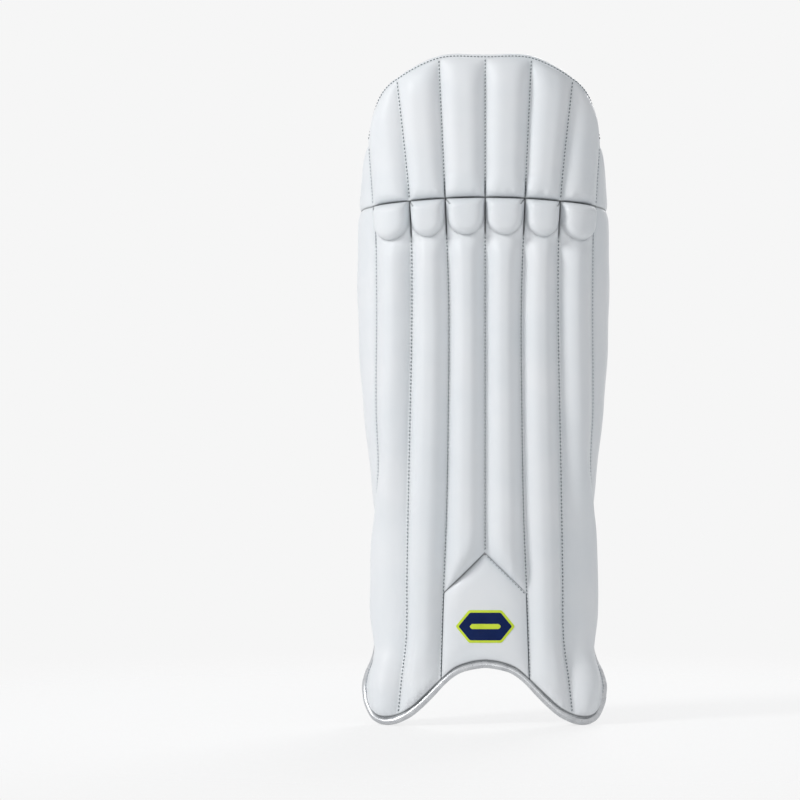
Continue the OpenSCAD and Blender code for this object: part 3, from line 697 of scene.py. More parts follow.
LEATHER = cover_leather()
LINING = lining_material("satin_lining")
TOP_LINING = lining_material("satin_lining_striped", stripe_print)
BOLSTER_CLOTH = lining_material("satin_lining_diamonds", diamond_print)
AIR_MESH = air_mesh_material()
NAVY = satin("navy_satin", (24, 22, 44), (32, 30, 54), 0.48, 0.0, 0.2).mat
LIME = plain_cloth("lime_satin", (158, 198, 34), (172, 212, 44), 0.5, 0.9)
MESH_WHITE = plain_cloth("mesh_white", (228, 231, 232), (238, 240, 241), 0.6, 0.8)
MESH_DARK = plain_cloth("mesh_ground", (48, 62, 62), (60, 74, 74), 0.8, 0.8, 0.0, 0.1)
BINDING = plain_cloth("grey_binding", (108, 112, 117), (124, 128, 133), 0.45, 1.2)
SILVER = drifting(
    "silver_vinyl", (120, 3), (180, 182, 185), (204, 206, 208), ((90, 2), 0.12, 0.0005), (260, 2, 0.26, 0.36),
    Metallic=0.6, Specular_IOR_Level=0.6,
).mat
WEBBING = webbing_material()
RING = drifting(
    "ring_plastic", (60, 2), (236, 237, 240), (243, 244, 246), ((130, 2), 0.06, 0.0005),
    Roughness=0.22, Coat_Weight=0.3, Coat_Roughness=0.1,
).mat
HOOKS = fuzz_material("hook_tape", (120, 122, 130), (146, 148, 156))
LOOPS = fuzz_material("loop_tape", (150, 152, 160), (182, 184, 190))
GREY_THREAD = thread_material("grey_thread", (92, 104, 108), (114, 126, 129))
BADGE_BLUE = plain_cloth("badge_blue", (10, 30, 78), (14, 36, 88), 0.6, 0.7, 0.0, 0.12)
BADGE_LIME = plain_cloth("badge_lime", (204, 226, 52), (216, 236, 64), 0.5, 0.7)
WHITE_THREAD = thread_material("white_thread", (214, 216, 220), (230, 231, 234))
PALE_THREAD = thread_material("pale_thread", (168, 176, 180), (188, 194, 198))

# ---- Front covers

SEAM_FLAT = 1.4
PIPE_LAP = 1.2
COLS = 35
INNER_N = 0.25
KNEE_GAP, PANEL_GAP = 0.3, 0.6
SIDE_C, CLEAR_OF_CENTER, WHIP_TURN = 2.985, 1.008, 58
LINING_FACE = LINING_N - 0.8
SIDES = ((-1, "left"), (1, "right"))


def channel_parts(c, z):
    """Fraction across the channel and distance in millimetres from its nearer seam."""
    g = np.abs(c)
    f = g - np.minimum(np.floor(g), 2)
    width = arc_at(c, z)[1]
    return f, np.minimum(f, 1 - f) * width, width


def crease_shade_of(*distances):
    """Painted shade beside the seams: 1 in the seams, fading out over a few millimetres."""
    near = np.minimum.reduce([np.asarray(d, float) * np.ones_like(distances[0]) for d in distances])
    return np.exp(-np.clip(near - 0.4, 0, None) / 1.5)


def pucker(c, z, from_seam, size=0.4):
    """Small gathers beside the stitched seams."""
    seam_number = np.round(c)
    total = np.zeros_like(z)
    for k in range(-3, 4):
        for side in (0, 1):
            here = (seam_number == k) & ((c > k) == bool(side))
            fine, slow = (waves(z, seed + 2 * k + side, length) for seed, length in ((100, 9.0), (200, 21.0)))
            total = np.where(here, fine + 0.6 * slow, total)
    return size * total * np.exp(-((from_seam - 4.5) / 3.6) ** 2)


def unevenness(c, z, size):
    """Slow dents that differ from channel to channel."""
    s = arc_at(c, z)[0]
    return size * (dents(s, z, 7, 55.0) + 0.8 * waves(z, 31, 130.0) * np.sin(np.pi * np.abs(c) % np.pi))


def line_at(distance, width):
    """1 on a line, fading out within a few widths."""
    return np.exp(-((distance / width) ** 2))


def top_surface(c, z):
    _, from_seam, width = channel_parts(c, z)
    up, down = z - knee_z(c) - KNEE_GAP, top_z(c) - z
    tight = 1 - smooth((up - 6) / 20)
    folded = tight * (1 - smooth((np.abs(c) - 1.3) / 0.5))
    slope = mix(0.92, 0.55, tight)
    across = pillow((from_seam - SEAM_FLAT * (1 - 0.8 * folded)) / (0.42 * width), 2.4, slope)
    across = across * pillow((3.0 - np.abs(c)) * width / 24, 1.8, 0.9)
    ends = pillow((up - 0.5) / 11, 2.4, 0.5) * pillow((down - 0.6) / 34, 2.6, 0.75)
    n = SEAM_N - 1.0 * folded * line_at(from_seam, 1.1) + TOP_RISE * across * ends
    n = n + (pucker(c, z, from_seam, 0.28) + unevenness(c, z, 0.3)) * across * ends
    pull = 0.5 * np.exp(-((up - 5) / 4) ** 2) * waves(arc_at(c, z)[0], 41, 11.0) * across
    # painted shadow: the gap field marks the knee seam and the tight seams just above it, where the cover turns
    # nearly black
    gap = np.maximum(line_at(up, 0.5), 0.9 * folded * line_at(from_seam, 0.5))
    return n + pull, crease_shade_of(from_seam, up), gap


def knuckle(f, width, down):
    """Padded cap at the top of a rib, square above and half round below, and a line along its rim."""
    half = np.minimum(0.5 * width - 1.6, 17.0)
    drop = np.clip(down - 19, 0, None) * half / 17.5
    within = half - np.hypot(f * width - half - 1.6, drop)
    rim = line_at(within + 0.4, 1.2) * smooth((down - 12) / 12)
    return 7.8 * pillow(within / 7.0, 2.3, 0.5) * pillow((down - 0.4) / 9, 2.2, 0.5) - 0.7 * rim, rim


def rib_end(c, low):
    """Height of a rib's lower end, at the instep's edge or on the chevron."""
    return bottom_z(c) + PIPE_LAP if low else chevron_z(c) + PANEL_GAP


def rib_surface(c, z, low):
    f, from_seam, width = channel_parts(c, z)
    down = knee_z(c) - z
    end = z - rib_end(c, low)
    deep = 1 - smooth((down - 32) / 10)
    flat = SEAM_FLAT * (1.3 - 1.15 * deep)
    across = pillow((from_seam - flat) / (0.4 * width), 2.0, mix(0.95, 0.5, deep))
    across = across * pillow((3.0 - np.abs(c)) * width / 27, 1.7, 0.9)
    if low:
        ends = pillow((end - 0.8) / 15, 2.2, 0.6) * mix(0.62, 1, smooth((end - 12) / 95))
        ends = ends * (1 + 0.2 * np.exp(-((end - 44) / 20) ** 2))
    else:
        ends = pillow((end * 0.75 - 0.4) / 15, 2.2, 0.5) * (1 + 0.16 * np.exp(-((end - 24) / 16) ** 2))
    ends = ends * (1 - 0.36 * np.exp(-((down - 40) / 8) ** 2)) * (1 - 0.3 * deep)
    rib = (RIB_RISE * across + 1.0 * np.sin(np.pi * f) ** 2) * ends * pillow((down - 0.6) / 12, 2.4, 0.5)
    cap, rim = knuckle(f, width, down)
    tuck = line_at((1 - f) * width - 0.85 * down, 0.8) * (down > 0.2) * (down < 6)
    n = SEAM_N - 1.2 * deep * line_at(from_seam, 1.0) + rib + cap - 0.8 * tuck
    uneven = (pucker(c, z, from_seam, 0.34) + unevenness(c, z, 0.34)) * across * np.clip(ends, 0, 1)
    pull = 0.5 * np.exp(-((end - 6) / 5) ** 2) * waves(arc_at(c, z)[0], 43, 9.0) * across
    # painted shadow: the gap field marks the knee seam, the deep seams between the knuckles, the tucks, the
    # knuckles' rims, the line above the instep pipe and the line under the chevron's left edge
    gap = np.maximum(line_at(down, 0.5), deep * line_at(from_seam, 0.6) * (np.abs(c) < 2.6))
    gap = np.maximum(gap, np.maximum(0.9 * tuck, 0.2 * rim))
    hem = line_at(end - 1.3, 0.9) if low else line_at(end, 0.8) * (c < 0)
    return n + uneven * pillow(down / 12) + pull, crease_shade_of(from_seam, down, end), np.maximum(gap, hem)


def instep_surface(c, z):
    width = channel_parts(c, z)[2]
    side = (1 - np.abs(c)) * width
    up, down = z - bottom_z(c) - PIPE_LAP, (chevron_z(c) - z) * 0.75
    ends = pillow((side - 0.7) / 20) * pillow((up - 0.8) / 20) * pillow((down - 0.5) / 16)
    n = SEAM_N + INSTEP_RISE * ends + 0.35 * dents(arc_at(c, z)[0], z, 9, 48.0) * ends
    fold = 0.9 * np.exp(-((up - 13) / 6) ** 2) * np.cos(np.pi * c / 2) * ends
    # painted shadow: the gap field marks the line above the instep pipe and the chevron's left side
    gap = np.maximum(line_at(up - 1.3, 0.9), 0.5 * line_at(side, 0.6) * (c < 0))
    return n - fold, crease_shade_of(side, down, up + 2), gap


def cover(name, cs, ts, height, surface, replaces):
    """Stuffed cover over columns cs and rows ts."""
    c, t = grid(cs, ts)
    z = height(c, t)
    n, crease_shade, gap = surface(c, z)
    h, base = channel(c, z), np.minimum(INNER_N, n - 0.6)
    return sheet(
        name, at(h, z, n), at(h, z, base), LEATHER, arc_at(c, z)[0], z, crease_shade, gap, slot="cover",
        replaces=replaces, fill=0.8,
    )


def channel_columns(first, last):
    parts = [k + spaced(COLS)[:-1] for k in range(first, last)]
    return np.concatenate(parts + [[last]])


def numbered(name, *numbers):
    return [f"{name}_{k}" for k in numbers]


def build_front():
    cover(
        "top_quilt", channel_columns(-3, 3), spaced(76, 1.35),
        lambda c, v: mix(knee_z(c) + KNEE_GAP, top_z(c), v), top_surface,
        ["top_cover", *numbered("top_fill", 1, 2, 3, 4, 5, 6)],
    )
    knuckle_rows = 44
    rows = np.concatenate([spaced(52, 1.15) * knuckle_rows, knuckle_rows + np.linspace(0, 1, 150)[1:] * 1000])

    def ribs(word, cs, low, ks):
        def place(c, t):
            share = 1 - (1 - np.clip((t - knuckle_rows) / 1000, 0, 1)) ** 1.15
            below = mix(knee_z(c) - knuckle_rows, rib_end(c, low), share)
            return np.where(t <= knuckle_rows, knee_z(c) - t, below)
        cover(
            f"shin_quilt_{word}", cs, rows, place, lambda c, z: rib_surface(c, z, low),
            [f"shin_cover_{word}", *numbered("knuckle_fill", *ks), *numbered("cane", *ks)],
        )

    for (side, word), ks in zip(SIDES, ((1, 2), (5, 6))):
        cs = channel_columns(1, 3)
        cs[0] = CLEAR_OF_CENTER
        ribs(word, cs if side > 0 else -cs[::-1], True, ks)
    ribs("center", channel_columns(-1, 1), False, (3, 4))
    cover(
        "instep_quilt", -0.985 + spaced(40) * 1.97, spaced(60),
        lambda c, v: mix(bottom_z(c) + PIPE_LAP, chevron_z(c), v), instep_surface,
        ["instep_panel", "instep_fill"],
    )


def on_shell(c, z, n):
    """Line on the shell as points and outward directions."""
    c, z = arrays(c, z)
    h = channel(c, z)
    return at(h, z, n), outward(h)


def build_front_stitches():
    thread, flank = Thread(), Thread()
    t = np.linspace(0, 1, 400)
    lift = SEAM_N + 0.12
    for k in (-2, -1, 0, 1, 2):
        thread.line(*on_shell(k, mix(knee_z(k) + 3, top_z(k) - 0.8, t), lift), turn=10)
        end = bottom_z(k) + 5 if k else chevron_z(k) + 3
        thread.line(*on_shell(k, mix(end, knee_z(k) - 38, t), lift + 0.15), zigzag=22)
    for k in (-3, 3):
        for low, high in ((knee_z(k) + 3, top_z(k) - 6), (30, knee_z(k) - 3)):
            flank.line(*on_shell(k * 0.985, mix(low, high, t), lift + 0.5))
    flank.build("flank_stitches", PALE_THREAD)
    c = mix(0.03, 0.96, t)
    thread.line(*on_shell(c, chevron_z(c) - 1.6, lift + 0.45), pitch=3.7, length=2.0)
    c = np.linspace(-SIDE_C, SIDE_C, 700)
    h = channel(c, top_z(c))
    line = at(h, top_z(c), SEAM_N + 0.1)
    line[:, 2] += 1.3
    thread.line(line, outward(h), pitch=3.4)
    thread.build("front_stitches", GREY_THREAD)


# ---- Edges

SIDE_Z = [126, 112, 98, 84, 72, 60, 50, 40, 30, 22]
EDGE_C = [2.85, 2.65, 2.4, 2.15, 1.95, 1.75, 1.5, 1.25, 1, 0.8, 0.6, 0.4, 0.2]


def spline(points, per_span):
    """Catmull-Rom curve through points."""
    p = np.concatenate([[2 * points[0] - points[1]], points, [2 * points[-1] - points[-2]]])
    t = np.linspace(0, 1, per_span, endpoint=False)[:, None]
    out = []
    for i in range(1, len(p) - 2):
        a, b, c, d = p[i - 1 : i + 3]
        out.append(
            0.5 * (2 * b + (c - a) * t + (2 * a - 5 * b + 4 * c - d) * t**2 + (3 * b - a - 3 * c + d) * t**3)
        )
    return np.concatenate(out + [points[-1:]])


def instep_edge():
    """Edge of the instep unrolled: arc length and height, from the +X side round to the -X side."""
    half = [(3.0, z) for z in SIDE_Z] + [(c, float(bottom_z(c))) for c in EDGE_C]
    whole = np.array(half + [(0.0, float(bottom_z(0)))] + [(-c, z) for c, z in half[::-1]])
    flat = np.stack([arc_at(whole[:, 0], whole[:, 1])[0], whole[:, 1]], -1)
    return spline(flat, 9)


def edge_rings(profile, edge):
    """Rings round the edge: a profile point is (distance beyond the edge, n)."""
    along = unit(np.gradient(edge, axis=0))
    beyond = np.stack([-along[:, 1], along[:, 0]], -1)
    s, z = edge[:, :1], edge[:, 1:]
    p, n = profile[None, :, 0], profile[None, :, 1]
    return at(heading_at(s + p * beyond[:, :1], z), z + p * beyond[:, 1:], n)


def rounded(corners, radius, steps=4):
    """Closed outline with its corners rounded."""
    p = np.array(corners, float)
    out = []
    for i in range(len(p)):
        a, b, c = p[i - 1], p[i], p[(i + 1) % len(p)]
        r = min(radius, 0.45 * np.linalg.norm(a - b), 0.45 * np.linalg.norm(c - b))
        start, stop = b + unit(a - b) * r, b + unit(c - b) * r
        for t in np.linspace(0, 1, steps):
            out.append((1 - t) ** 2 * start + 2 * t * (1 - t) * b + t**2 * stop)
    return np.array(out)


def build_edges():
    edge = instep_edge()
    a = np.radians(np.arange(0, 360, 18))
    pipe = np.stack([1.7 + 3.7 * np.cos(a), 0.4 + 3.7 * np.sin(a)], -1)
    swept("instep_pipe", edge_rings(pipe, edge), SILVER, slot="silver_piping", replaces=["instep_piping"])
    inner, front = LINING_FACE - 0.9, -4.3
    outer = inner - 1.8
    band = rounded([(-8, outer), (4.6, outer), (4.6, front), (0.5, front), (0.5, inner), (-8, inner)], 2.2)
    swept("instep_band", edge_rings(band, edge), BINDING, slot="grey_binding", replaces=["instep_binding"])
    thread = Thread()
    line = edge_rings(np.array([[-5.5, inner - 1.9]]), edge)[:, 0]
    thread.line(line, -outward(heading_at(edge[:, 0], edge[:, 1])), pitch=4.0, length=2.6, radius=0.38)
    c = np.linspace(-SIDE_C, SIDE_C, 360)
    z = top_z(c)
    out_n, in_n = SEAM_N + 0.05, LINING_FACE - 0.6
    turn = np.radians(np.linspace(0, 180, 13))
    mid, half = (out_n + in_n) / 2, (out_n - in_n) / 2
    n = mid + half * np.sign(np.cos(turn)) * np.abs(np.cos(turn)) ** 0.7
    up = EDGE_GAP + (EDGE_CAP - EDGE_GAP) * np.abs(np.sin(turn)) ** 0.8
    n, up = np.append(n, [in_n + 0.2, out_n]), np.append(up, [-3.5, -0.2])
    h = channel(c, z)
    rings = at(h[:, None], z[:, None], n[None])
    rings[..., 2] += up[None]
    swept("top_band", rings, LEATHER, slot="cover", replaces=["top_binding"])
    line = at(h, z, in_n - 0.25)
    line[:, 2] += 0.6
    thread.line(line, -outward(h), pitch=4.2, length=5.0, radius=0.42, turn=WHIP_TURN)
    thread.build("edge_stitches", WHITE_THREAD)


# ---- Linings

BACKING_N = -0.3
SPLIT_Z = 130.0


def quilted(c, z, seams, low, high, rise, reach):
    """Puff of a lining between its quilting seams and its lower and upper edge, and the painted shade in its
    seams.
    """
    s, width = arc_at(c, z)
    marks = np.array(seams, float)
    from_seam = np.abs(c[..., None] - marks).min(-1) * width
    ends = pillow((z - low) / 14) * pillow((high - z) / 14)
    puff = rise * pillow((from_seam - 0.6) / reach, 2.2, 0.7) * ends
    folds = 0.35 * dents(s, z, 17, 30.0) + 0.3 * waves(z, 51, 9.0) * np.exp(-((from_seam - 4) / 4) ** 2)
    return puff + folds * np.clip(ends, 0, 1), crease_shade_of(from_seam)


def lining(name, cs, vs, low, high, mat, replaces, seams, start, rise, reach):
    """Quilted lining from low(c) to high(c), puffed above start(c)."""
    c, v = grid(cs, vs)
    z = mix(low(c), high(c), v)
    puff, crease_shade = quilted(c, z, seams, start(c), high(c) + 1, rise, reach)
    shown = smooth((z - start(c)) / 4)
    h, inner = channel(c, z), LINING_FACE - 0.2 - puff * shown
    return sheet(
        name, at(h, z, BACKING_N), at(h, z, inner), mat, arc_at(c, z)[0], z, crease_shade * shown, slot="lining",
        replaces=replaces, fill=0.5,
    )


def build_linings():
    lining(
        "back_liner", np.linspace(-SIDE_C, SIDE_C, 150), spaced(170, 1.2),
        lambda c: SPLIT_Z + 0.2 + 0 * c, top_z, TOP_LINING, ["back_lining", "shin_backing"], range(-3, 4),
        lambda c: BOLSTER_TOP_Z - 4 + 0 * c, 2.6, 15.0,
    )
    lining(
        "instep_liner", np.linspace(-2.93, 2.93, 150), spaced(70, 1.2), lambda c: bottom_z(c) + 0.8,
        lambda c: SPLIT_Z - 0.2 + 0 * c, AIR_MESH, ["instep_lining", "instep_backing"],
        (-2.8, -2, -1, 1, 2, 2.8), lambda c: bottom_z(c) + 8, 4.8, 13.0,
    )
    thread = Thread()
    t = np.linspace(0, 1, 300)
    for k in (-2, -1, 0, 1, 2):
        runs = ((BOLSTER_TOP_Z + 6, top_z(k) - 5), (bottom_z(k) + 6, SPLIT_Z - 2))
        for low, high in runs if k else runs[:1]:
            points, up = on_shell(k, mix(low, high, t), LINING_FACE - 0.35)
            thread.line(points, -up, pitch=4.0, length=2.6, radius=0.34)
    thread.build("lining_stitches", GREY_THREAD)


# ---- Wings

WING_MID, WING_HALF, WING_EDGE = -3.5, 4.7, 5.0
WING_STITCH, LINER_Q = 6.5, 0.90


def wing_frame(q, v, gap=0.9):
    """Arc length, height, heading and the distances from front, rear, bottom and top edge."""
    z = mix(WING_BOTTOM_Z, WING_TOP_Z - 14 * q**2, v)
    front = arc_length(curve_at(WING_SEAM, z), z) + gap
    rear = arc_length(curve_at(WING_REAR, z), z)
    s = mix(front, rear, q)
    tall = WING_TOP_Z - 14 * q**2 - WING_BOTTOM_Z
    return s, z, heading_at(s, z), (q * (rear - front), (1 - q) * (rear - front), v * tall, (1 - v) * tall)


def wing_knee_z(from_front):
    """Height of the knee seam where it runs on across the wing."""
    return KNEE_SEAM_Z - KNEE_DROP - 0.07 * from_front


def wing_faces(q, v):
    s, z, h, (front, rear, low, high) = wing_frame(q, v)
    edge = quarter(rear / 3.4) * quarter(low / WING_EDGE) * quarter(high / WING_EDGE)
    edge = edge * mix(0.6, 1, smooth(rear / 22))
    puff = pillow(front / 22) * pillow((rear - 2) / 16) * pillow((low - 2) / 16) * pillow((high - 2) / 16)
    uneven = 0.45 * dents(s, z, 23, 62.0)
    seam = z - wing_knee_z(front)
    puff = puff * (1 - 0.75 * np.exp(-((seam / 5) ** 2)))
    out = WING_MID + WING_HALF * edge + (1.5 + uneven) * puff - 1.1 * line_at(seam, 1.4) * edge
    inn = WING_MID - WING_HALF * edge - 0.4 * puff
    return s, z, h, out, inn, (front, rear, low, high)


def edge_dense(count, rim):
    """Numbers from 0 to 1 with a few very close ones near 1."""
    near = 1 - np.array([0.075, 0.05, 0.033, 0.02, 0.011, 0.005, 0.0012, 0]) * rim
    return np.concatenate([np.linspace(0, near[0], count)[:-1], near])


ROLL_Q, ROLL_Z = (0.12, 0.975), (176.0, 533.0)


def roll_face(q, z, length):
    """Depth of the rolled pad with gathers at its two ends, and the painted shade in the gathers' folds."""
    top, low = ROLL_Z[1] - z, z - ROLL_Z[0]
    body = pillow((q - ROLL_Q[0]) / 0.4, 2.2, 0.7) * pillow((ROLL_Q[1] - q) * length / 15, 2.2, 0.5)
    ends = pillow(top / 20, 2.2, 0.55) * pillow(low / 55, 2.0, 0.7) * mix(0.74, 1, smooth(low / 210))
    fold = np.abs(np.sin(np.pi * (q * 8.5 + 0.3 * np.sin(14 * q)) + 0.6 * waves(z, 61, 34.0)))
    reach = 17 + 7 * np.sin(19 * q)
    near = np.exp(-((top / reach) ** 1.4)) + 0.5 * np.exp(-((low / 34) ** 1.4))
    gather = (3.8 * fold - 2.6) * near
    slack = 0.9 * dents(q * length, z, 29, 46.0) + 0.35 * waves(z, 67, 17.0)
    return (14.8 * ends + (gather + slack) * np.clip(ends, 0, 1)) * body, line_at(fold, 0.3) * near


def build_wings():
    low_v = 1 - edge_dense(60, 0.2)[::-1]
    vs = np.concatenate([low_v[:-1] * 0.5, 0.5 + edge_dense(60, 0.2) * 0.5, np.linspace(0.81, 0.87, 45)])
    shell_at = grid(edge_dense(34, 0.9), np.unique(vs))
    liner_q, liner_v = grid(np.linspace(0.02, LINER_Q, 50), np.linspace(0.02, 0.98, 150))
    roll_q, roll_z = grid(mix(*ROLL_Q, spaced(90, 1.25)), mix(*ROLL_Z, spaced(150, 1.25)))
    for side, word in SIDES:
        def layer(name, mat, slot, replaces, fill, h, z, out, inn, s, crease_shade, gap=0.0):
            sheet(f"{name}_{word}", at(side * h, z, out), at(side * h, z, inn), mat, s, z, crease_shade, gap,
                  slot=slot, replaces=[f"{node}_{word}" for node in replaces], fill=fill)

        s, z, h, out, inn, gaps = wing_faces(*shell_at)
        seam = z - wing_knee_z(gaps[0])
        crease_shade = crease_shade_of(gaps[0], np.abs(gaps[1] - WING_STITCH) + 1.2, np.abs(seam))
        # painted shade in the wing's seams and creases, and painted shadow along the knee seam where it runs
        # across the wing
        layer("wing_shell", LEATHER, "cover", ["wing_cover", "wing_foam"], 0.5, h, z, out, inn, s, crease_shade,
              0.85 * line_at(seam, 0.7))
        s, z, h, out, inn, gaps = wing_faces(liner_q, liner_v)
        puff = 0.9 * pillow((LINER_Q - liner_q) * 90 / 10) + 0.3 * dents(s, z, 37, 34.0)
        layer("wing_liner", LINING, "lining", ["wing_lining"], 0.3, h, z, inn + 0.3, inn - 0.35 - puff, s,
              crease_shade_of(gaps[1] - 8))
        z = roll_z
        front = arc_length(curve_at(WING_SEAM, z), z) + 2.5
        rear = arc_length(curve_at(WING_REAR, z), z)
        s = mix(front, rear, roll_q)
        base = WING_MID - WING_HALF - 1.6
        # painted shade in the roll's seams and in the folds of its gathers
        depth, gather_shade = roll_face(roll_q, z, rear - front)
        layer("roll", LINING, "lining", ["side_roll"], 0.7, heading_at(s, z), z, base,
              base - np.maximum(depth, 0) - 0.2, s, 0.6 * np.maximum(crease_shade_of(depth + 0.6), gather_shade))
        build_wing_stitches(side, word)


def build_wing_stitches(side, word):
    """Topstitching near the rear edge, and whip stitches where the lining meets the leather."""
    grey, white = Thread(), Thread()
    v = np.linspace(0.015, 0.985, 400)
    _, z, h, out, _, _ = wing_faces(1 - WING_STITCH / 95 + 0 * v, v)
    grey.line(at(side * h, z, out + 0.1), outward(side * h))
    v = np.linspace(0.03, 0.97, 400)
    _, z, h, _, inn, _ = wing_faces(LINER_Q + 0.002 + 0 * v, v)
    line = at(side * h, z, inn - 0.5)
    white.line(line, -outward(side * h), pitch=4.2, length=4.8, radius=0.4, turn=WHIP_TURN)
    grey.build(f"wing_stitches_{word}", GREY_THREAD)
    white.build(f"wing_whip_{word}", WHITE_THREAD)


# ---- Bolster

BOLSTER_N = LINING_FACE - 1.0
BOLSTER_T, BOLSTER_LOW_Z, BOLSTER_TOP_Z = 26.0, 136.0, 540.0
BOLSTER_HALF = [(136, 84), (200, 86), (260, 88.5), (322, 93), (430, 97), (540, 96)]
BAND_X, GROOVES, STRIP_X = 32.0, (33.6, 50.6), 52.0
OVERLAY_TOP_Z = 535.0
TIP_H = 9.0


def lining_y(x, z, n):
    """Depth of the lining's face at width x."""
    x = np.abs(x)
    turn = front_x(z) - CORNER_RADIUS * sin(FRONT_TURN)
    flat = np.degrees(np.arcsin(np.clip(x / (front_radius(z) + n), -1, 1)))
    bent = np.degrees(np.arcsin(np.clip((x - turn) / (CORNER_RADIUS + n), 0, 0.999)))
    return at(np.where(flat <= FRONT_TURN, flat, bent), z, n)[..., 1]


def bolster_y(x, z):
    """Depth of the bolster's face, its base and how near a groove is."""
    x, z = arrays(x, z)
    g, base = np.abs(x), lining_y(x, z, BOLSTER_N)
    face = x**2 / (2 * front_radius(z)) + lean(z) - LEG_AXIS_Y - BOLSTER_N + BOLSTER_T
    edge = curve_at(BOLSTER_HALF, z) - g
    across = pillow(edge / 12, 2.2, 0.5)
    ends = pillow((z - BOLSTER_LOW_Z) / 34, 2.2, 0.6) * pillow((BOLSTER_TOP_Z - z) / 12, 2.2, 0.5)
    groove = sum(np.exp(-np.abs((g - k) / 2.4) ** 1.5) for k in GROOVES)
    slack = 0.8 * dents(x, z, 71, 80.0) + 0.45 * waves(z, 73, 12.0) * groove
    hem = 0.7 * waves(x, 79, 24.0) * np.exp(-(((z - BOLSTER_LOW_Z - 14) / 12) ** 2))
    crown = 1.8 * np.cos(np.pi * np.clip(g / GROOVES[0], 0, 1) / 2) + 1.5 * pillow((g - GROOVES[1]) / 16)
    depth = (face - base) * across * ends
    detail = (slack + hem + crown - 3.0 * groove) * np.clip(edge / 14, 0, 1) * np.clip(ends, 0, 1)
    return base + np.maximum(depth + detail, 0.2), base, groove


def on_bolster(x, z, lift):
    """Points lifted off the bolster, and its outward directions."""
    x, z = arrays(x, z)
    y = bolster_y(x, z)[0]
    step = 0.5
    dx = bolster_y(x + step, z)[0] - bolster_y(x - step, z)[0]
    dz = bolster_y(x, z + step)[0] - bolster_y(x, z - step)[0]
    x_out, z_out = (-np.clip(d / (2 * step), -3, 3) for d in (dx, dz))
    out = unit(np.stack([x_out, np.ones_like(y), z_out], -1))
    return np.stack([x, y, z], -1) + np.asarray(lift, float)[..., None] * out, out


def band_low(x):
    rise = 0.34 + 0.035 * (1 - np.abs(x) / BAND_X)
    return BOLSTER_LOW_Z + rise * (BOLSTER_TOP_Z - BOLSTER_LOW_Z)


def strip_low(x):
    return 258.0 - 0.46 * (np.abs(x) - STRIP_X)


def strip_outer(z):
    return curve_at(BOLSTER_HALF, z) - 3.0


def overlay(name, x, z, mat, slot, replaces, lift=0.1, thick=0.8):
    outer, inner = on_bolster(x, z, lift + thick)[0], on_bolster(x, z, lift - 0.3)[0]
    return sheet(name, outer, inner, mat, x, z, slot=slot, replaces=replaces)


def perforated(name, side):
    """Mesh with real rhombic holes, laid on the bolster."""
    half_w, half_h = 2.6, 2.95
    steps = np.array([(2, 0), (1, 1), (0, 2), (-1, 1), (-2, 0), (-1, -1), (0, -2), (1, -1)])
    hole = steps * np.array([0.62, 0.6])
    hole[1::2] *= 1.06
    i, j = grid(np.arange(9, 24), np.arange(72, 184))
    tiles = np.stack([4 * i + 2 * (j % 2), 2 * j], -1).reshape(-1, 2)
    x, z = tiles[:, 0] * half_w / 2, tiles[:, 1] * half_h / 2
    keep = (x > STRIP_X + 2.5) & (x < strip_outer(z) - 2.2) & (z > strip_low(x) + 3) & (z < OVERLAY_TOP_Z - 3)
    tiles = tiles[keep]
    lattice, where = np.unique((tiles[:, None] + steps[None]).reshape(-1, 2), axis=0, return_inverse=True)
    where = where.reshape(-1, 8)
    holes = (tiles[:, None] + hole[None]).reshape(-1, 2)
    flat = np.concatenate([lattice, holes]) * np.array([half_w / 2, half_h / 2])
    inner = len(lattice) + np.arange(len(tiles) * 8).reshape(-1, 8)
    quads = np.stack([where, np.roll(where, -1, 1), np.roll(inner, -1, 1), inner], -1).reshape(-1, 4)
    x, z = side * flat[:, 0], flat[:, 1]
    points = on_bolster(x, z, 1.0)[0]
    made = make(name, points, [quads if side < 0 else quads[:, ::-1]], MESH_WHITE, slot="mesh",
                fields={"across": x, "along": z, "crease_shade": 0.0}, closed_form=False)
    solid = made.modifiers.new("thickness", "SOLIDIFY")
    solid.thickness, solid.offset = 0.7 * MM, 0.0


def build_hem(name, side):
    """Flat white border round a mesh strip."""
    t = np.linspace(0, 1, 60)
    one, width = np.ones(60), 1.8
    foot = strip_outer(240.0)
    rise = mix(strip_low(STRIP_X), OVERLAY_TOP_Z, t)
    fall = mix(OVERLAY_TOP_Z, strip_low(foot), t)
    x = np.concatenate([
        STRIP_X * one, mix(STRIP_X, strip_outer(OVERLAY_TOP_Z), t), strip_outer(fall), mix(foot, STRIP_X, t),
    ])
    z = np.concatenate([rise, OVERLAY_TOP_Z * one, fall, strip_low(x[180:])])
    back, forth = mix(1, -1, t), mix(-1, 1, t)
    move_x = width * np.concatenate([one, back, -one, forth])
    move_z = width * np.concatenate([back, -one, forth, one])
    rings = np.stack([
        on_bolster(side * (x + move_x * share), z + move_z * share, lift)[0]
        for share, lift in ((0, 0.1), (0, 1.35), (0.15, 1.6), (0.85, 1.6), (1, 1.35), (1, 0.1))
    ], 1)
    swept(name, rings, MESH_WHITE, np.arange(6.0), z, loop=True, slot="mesh")


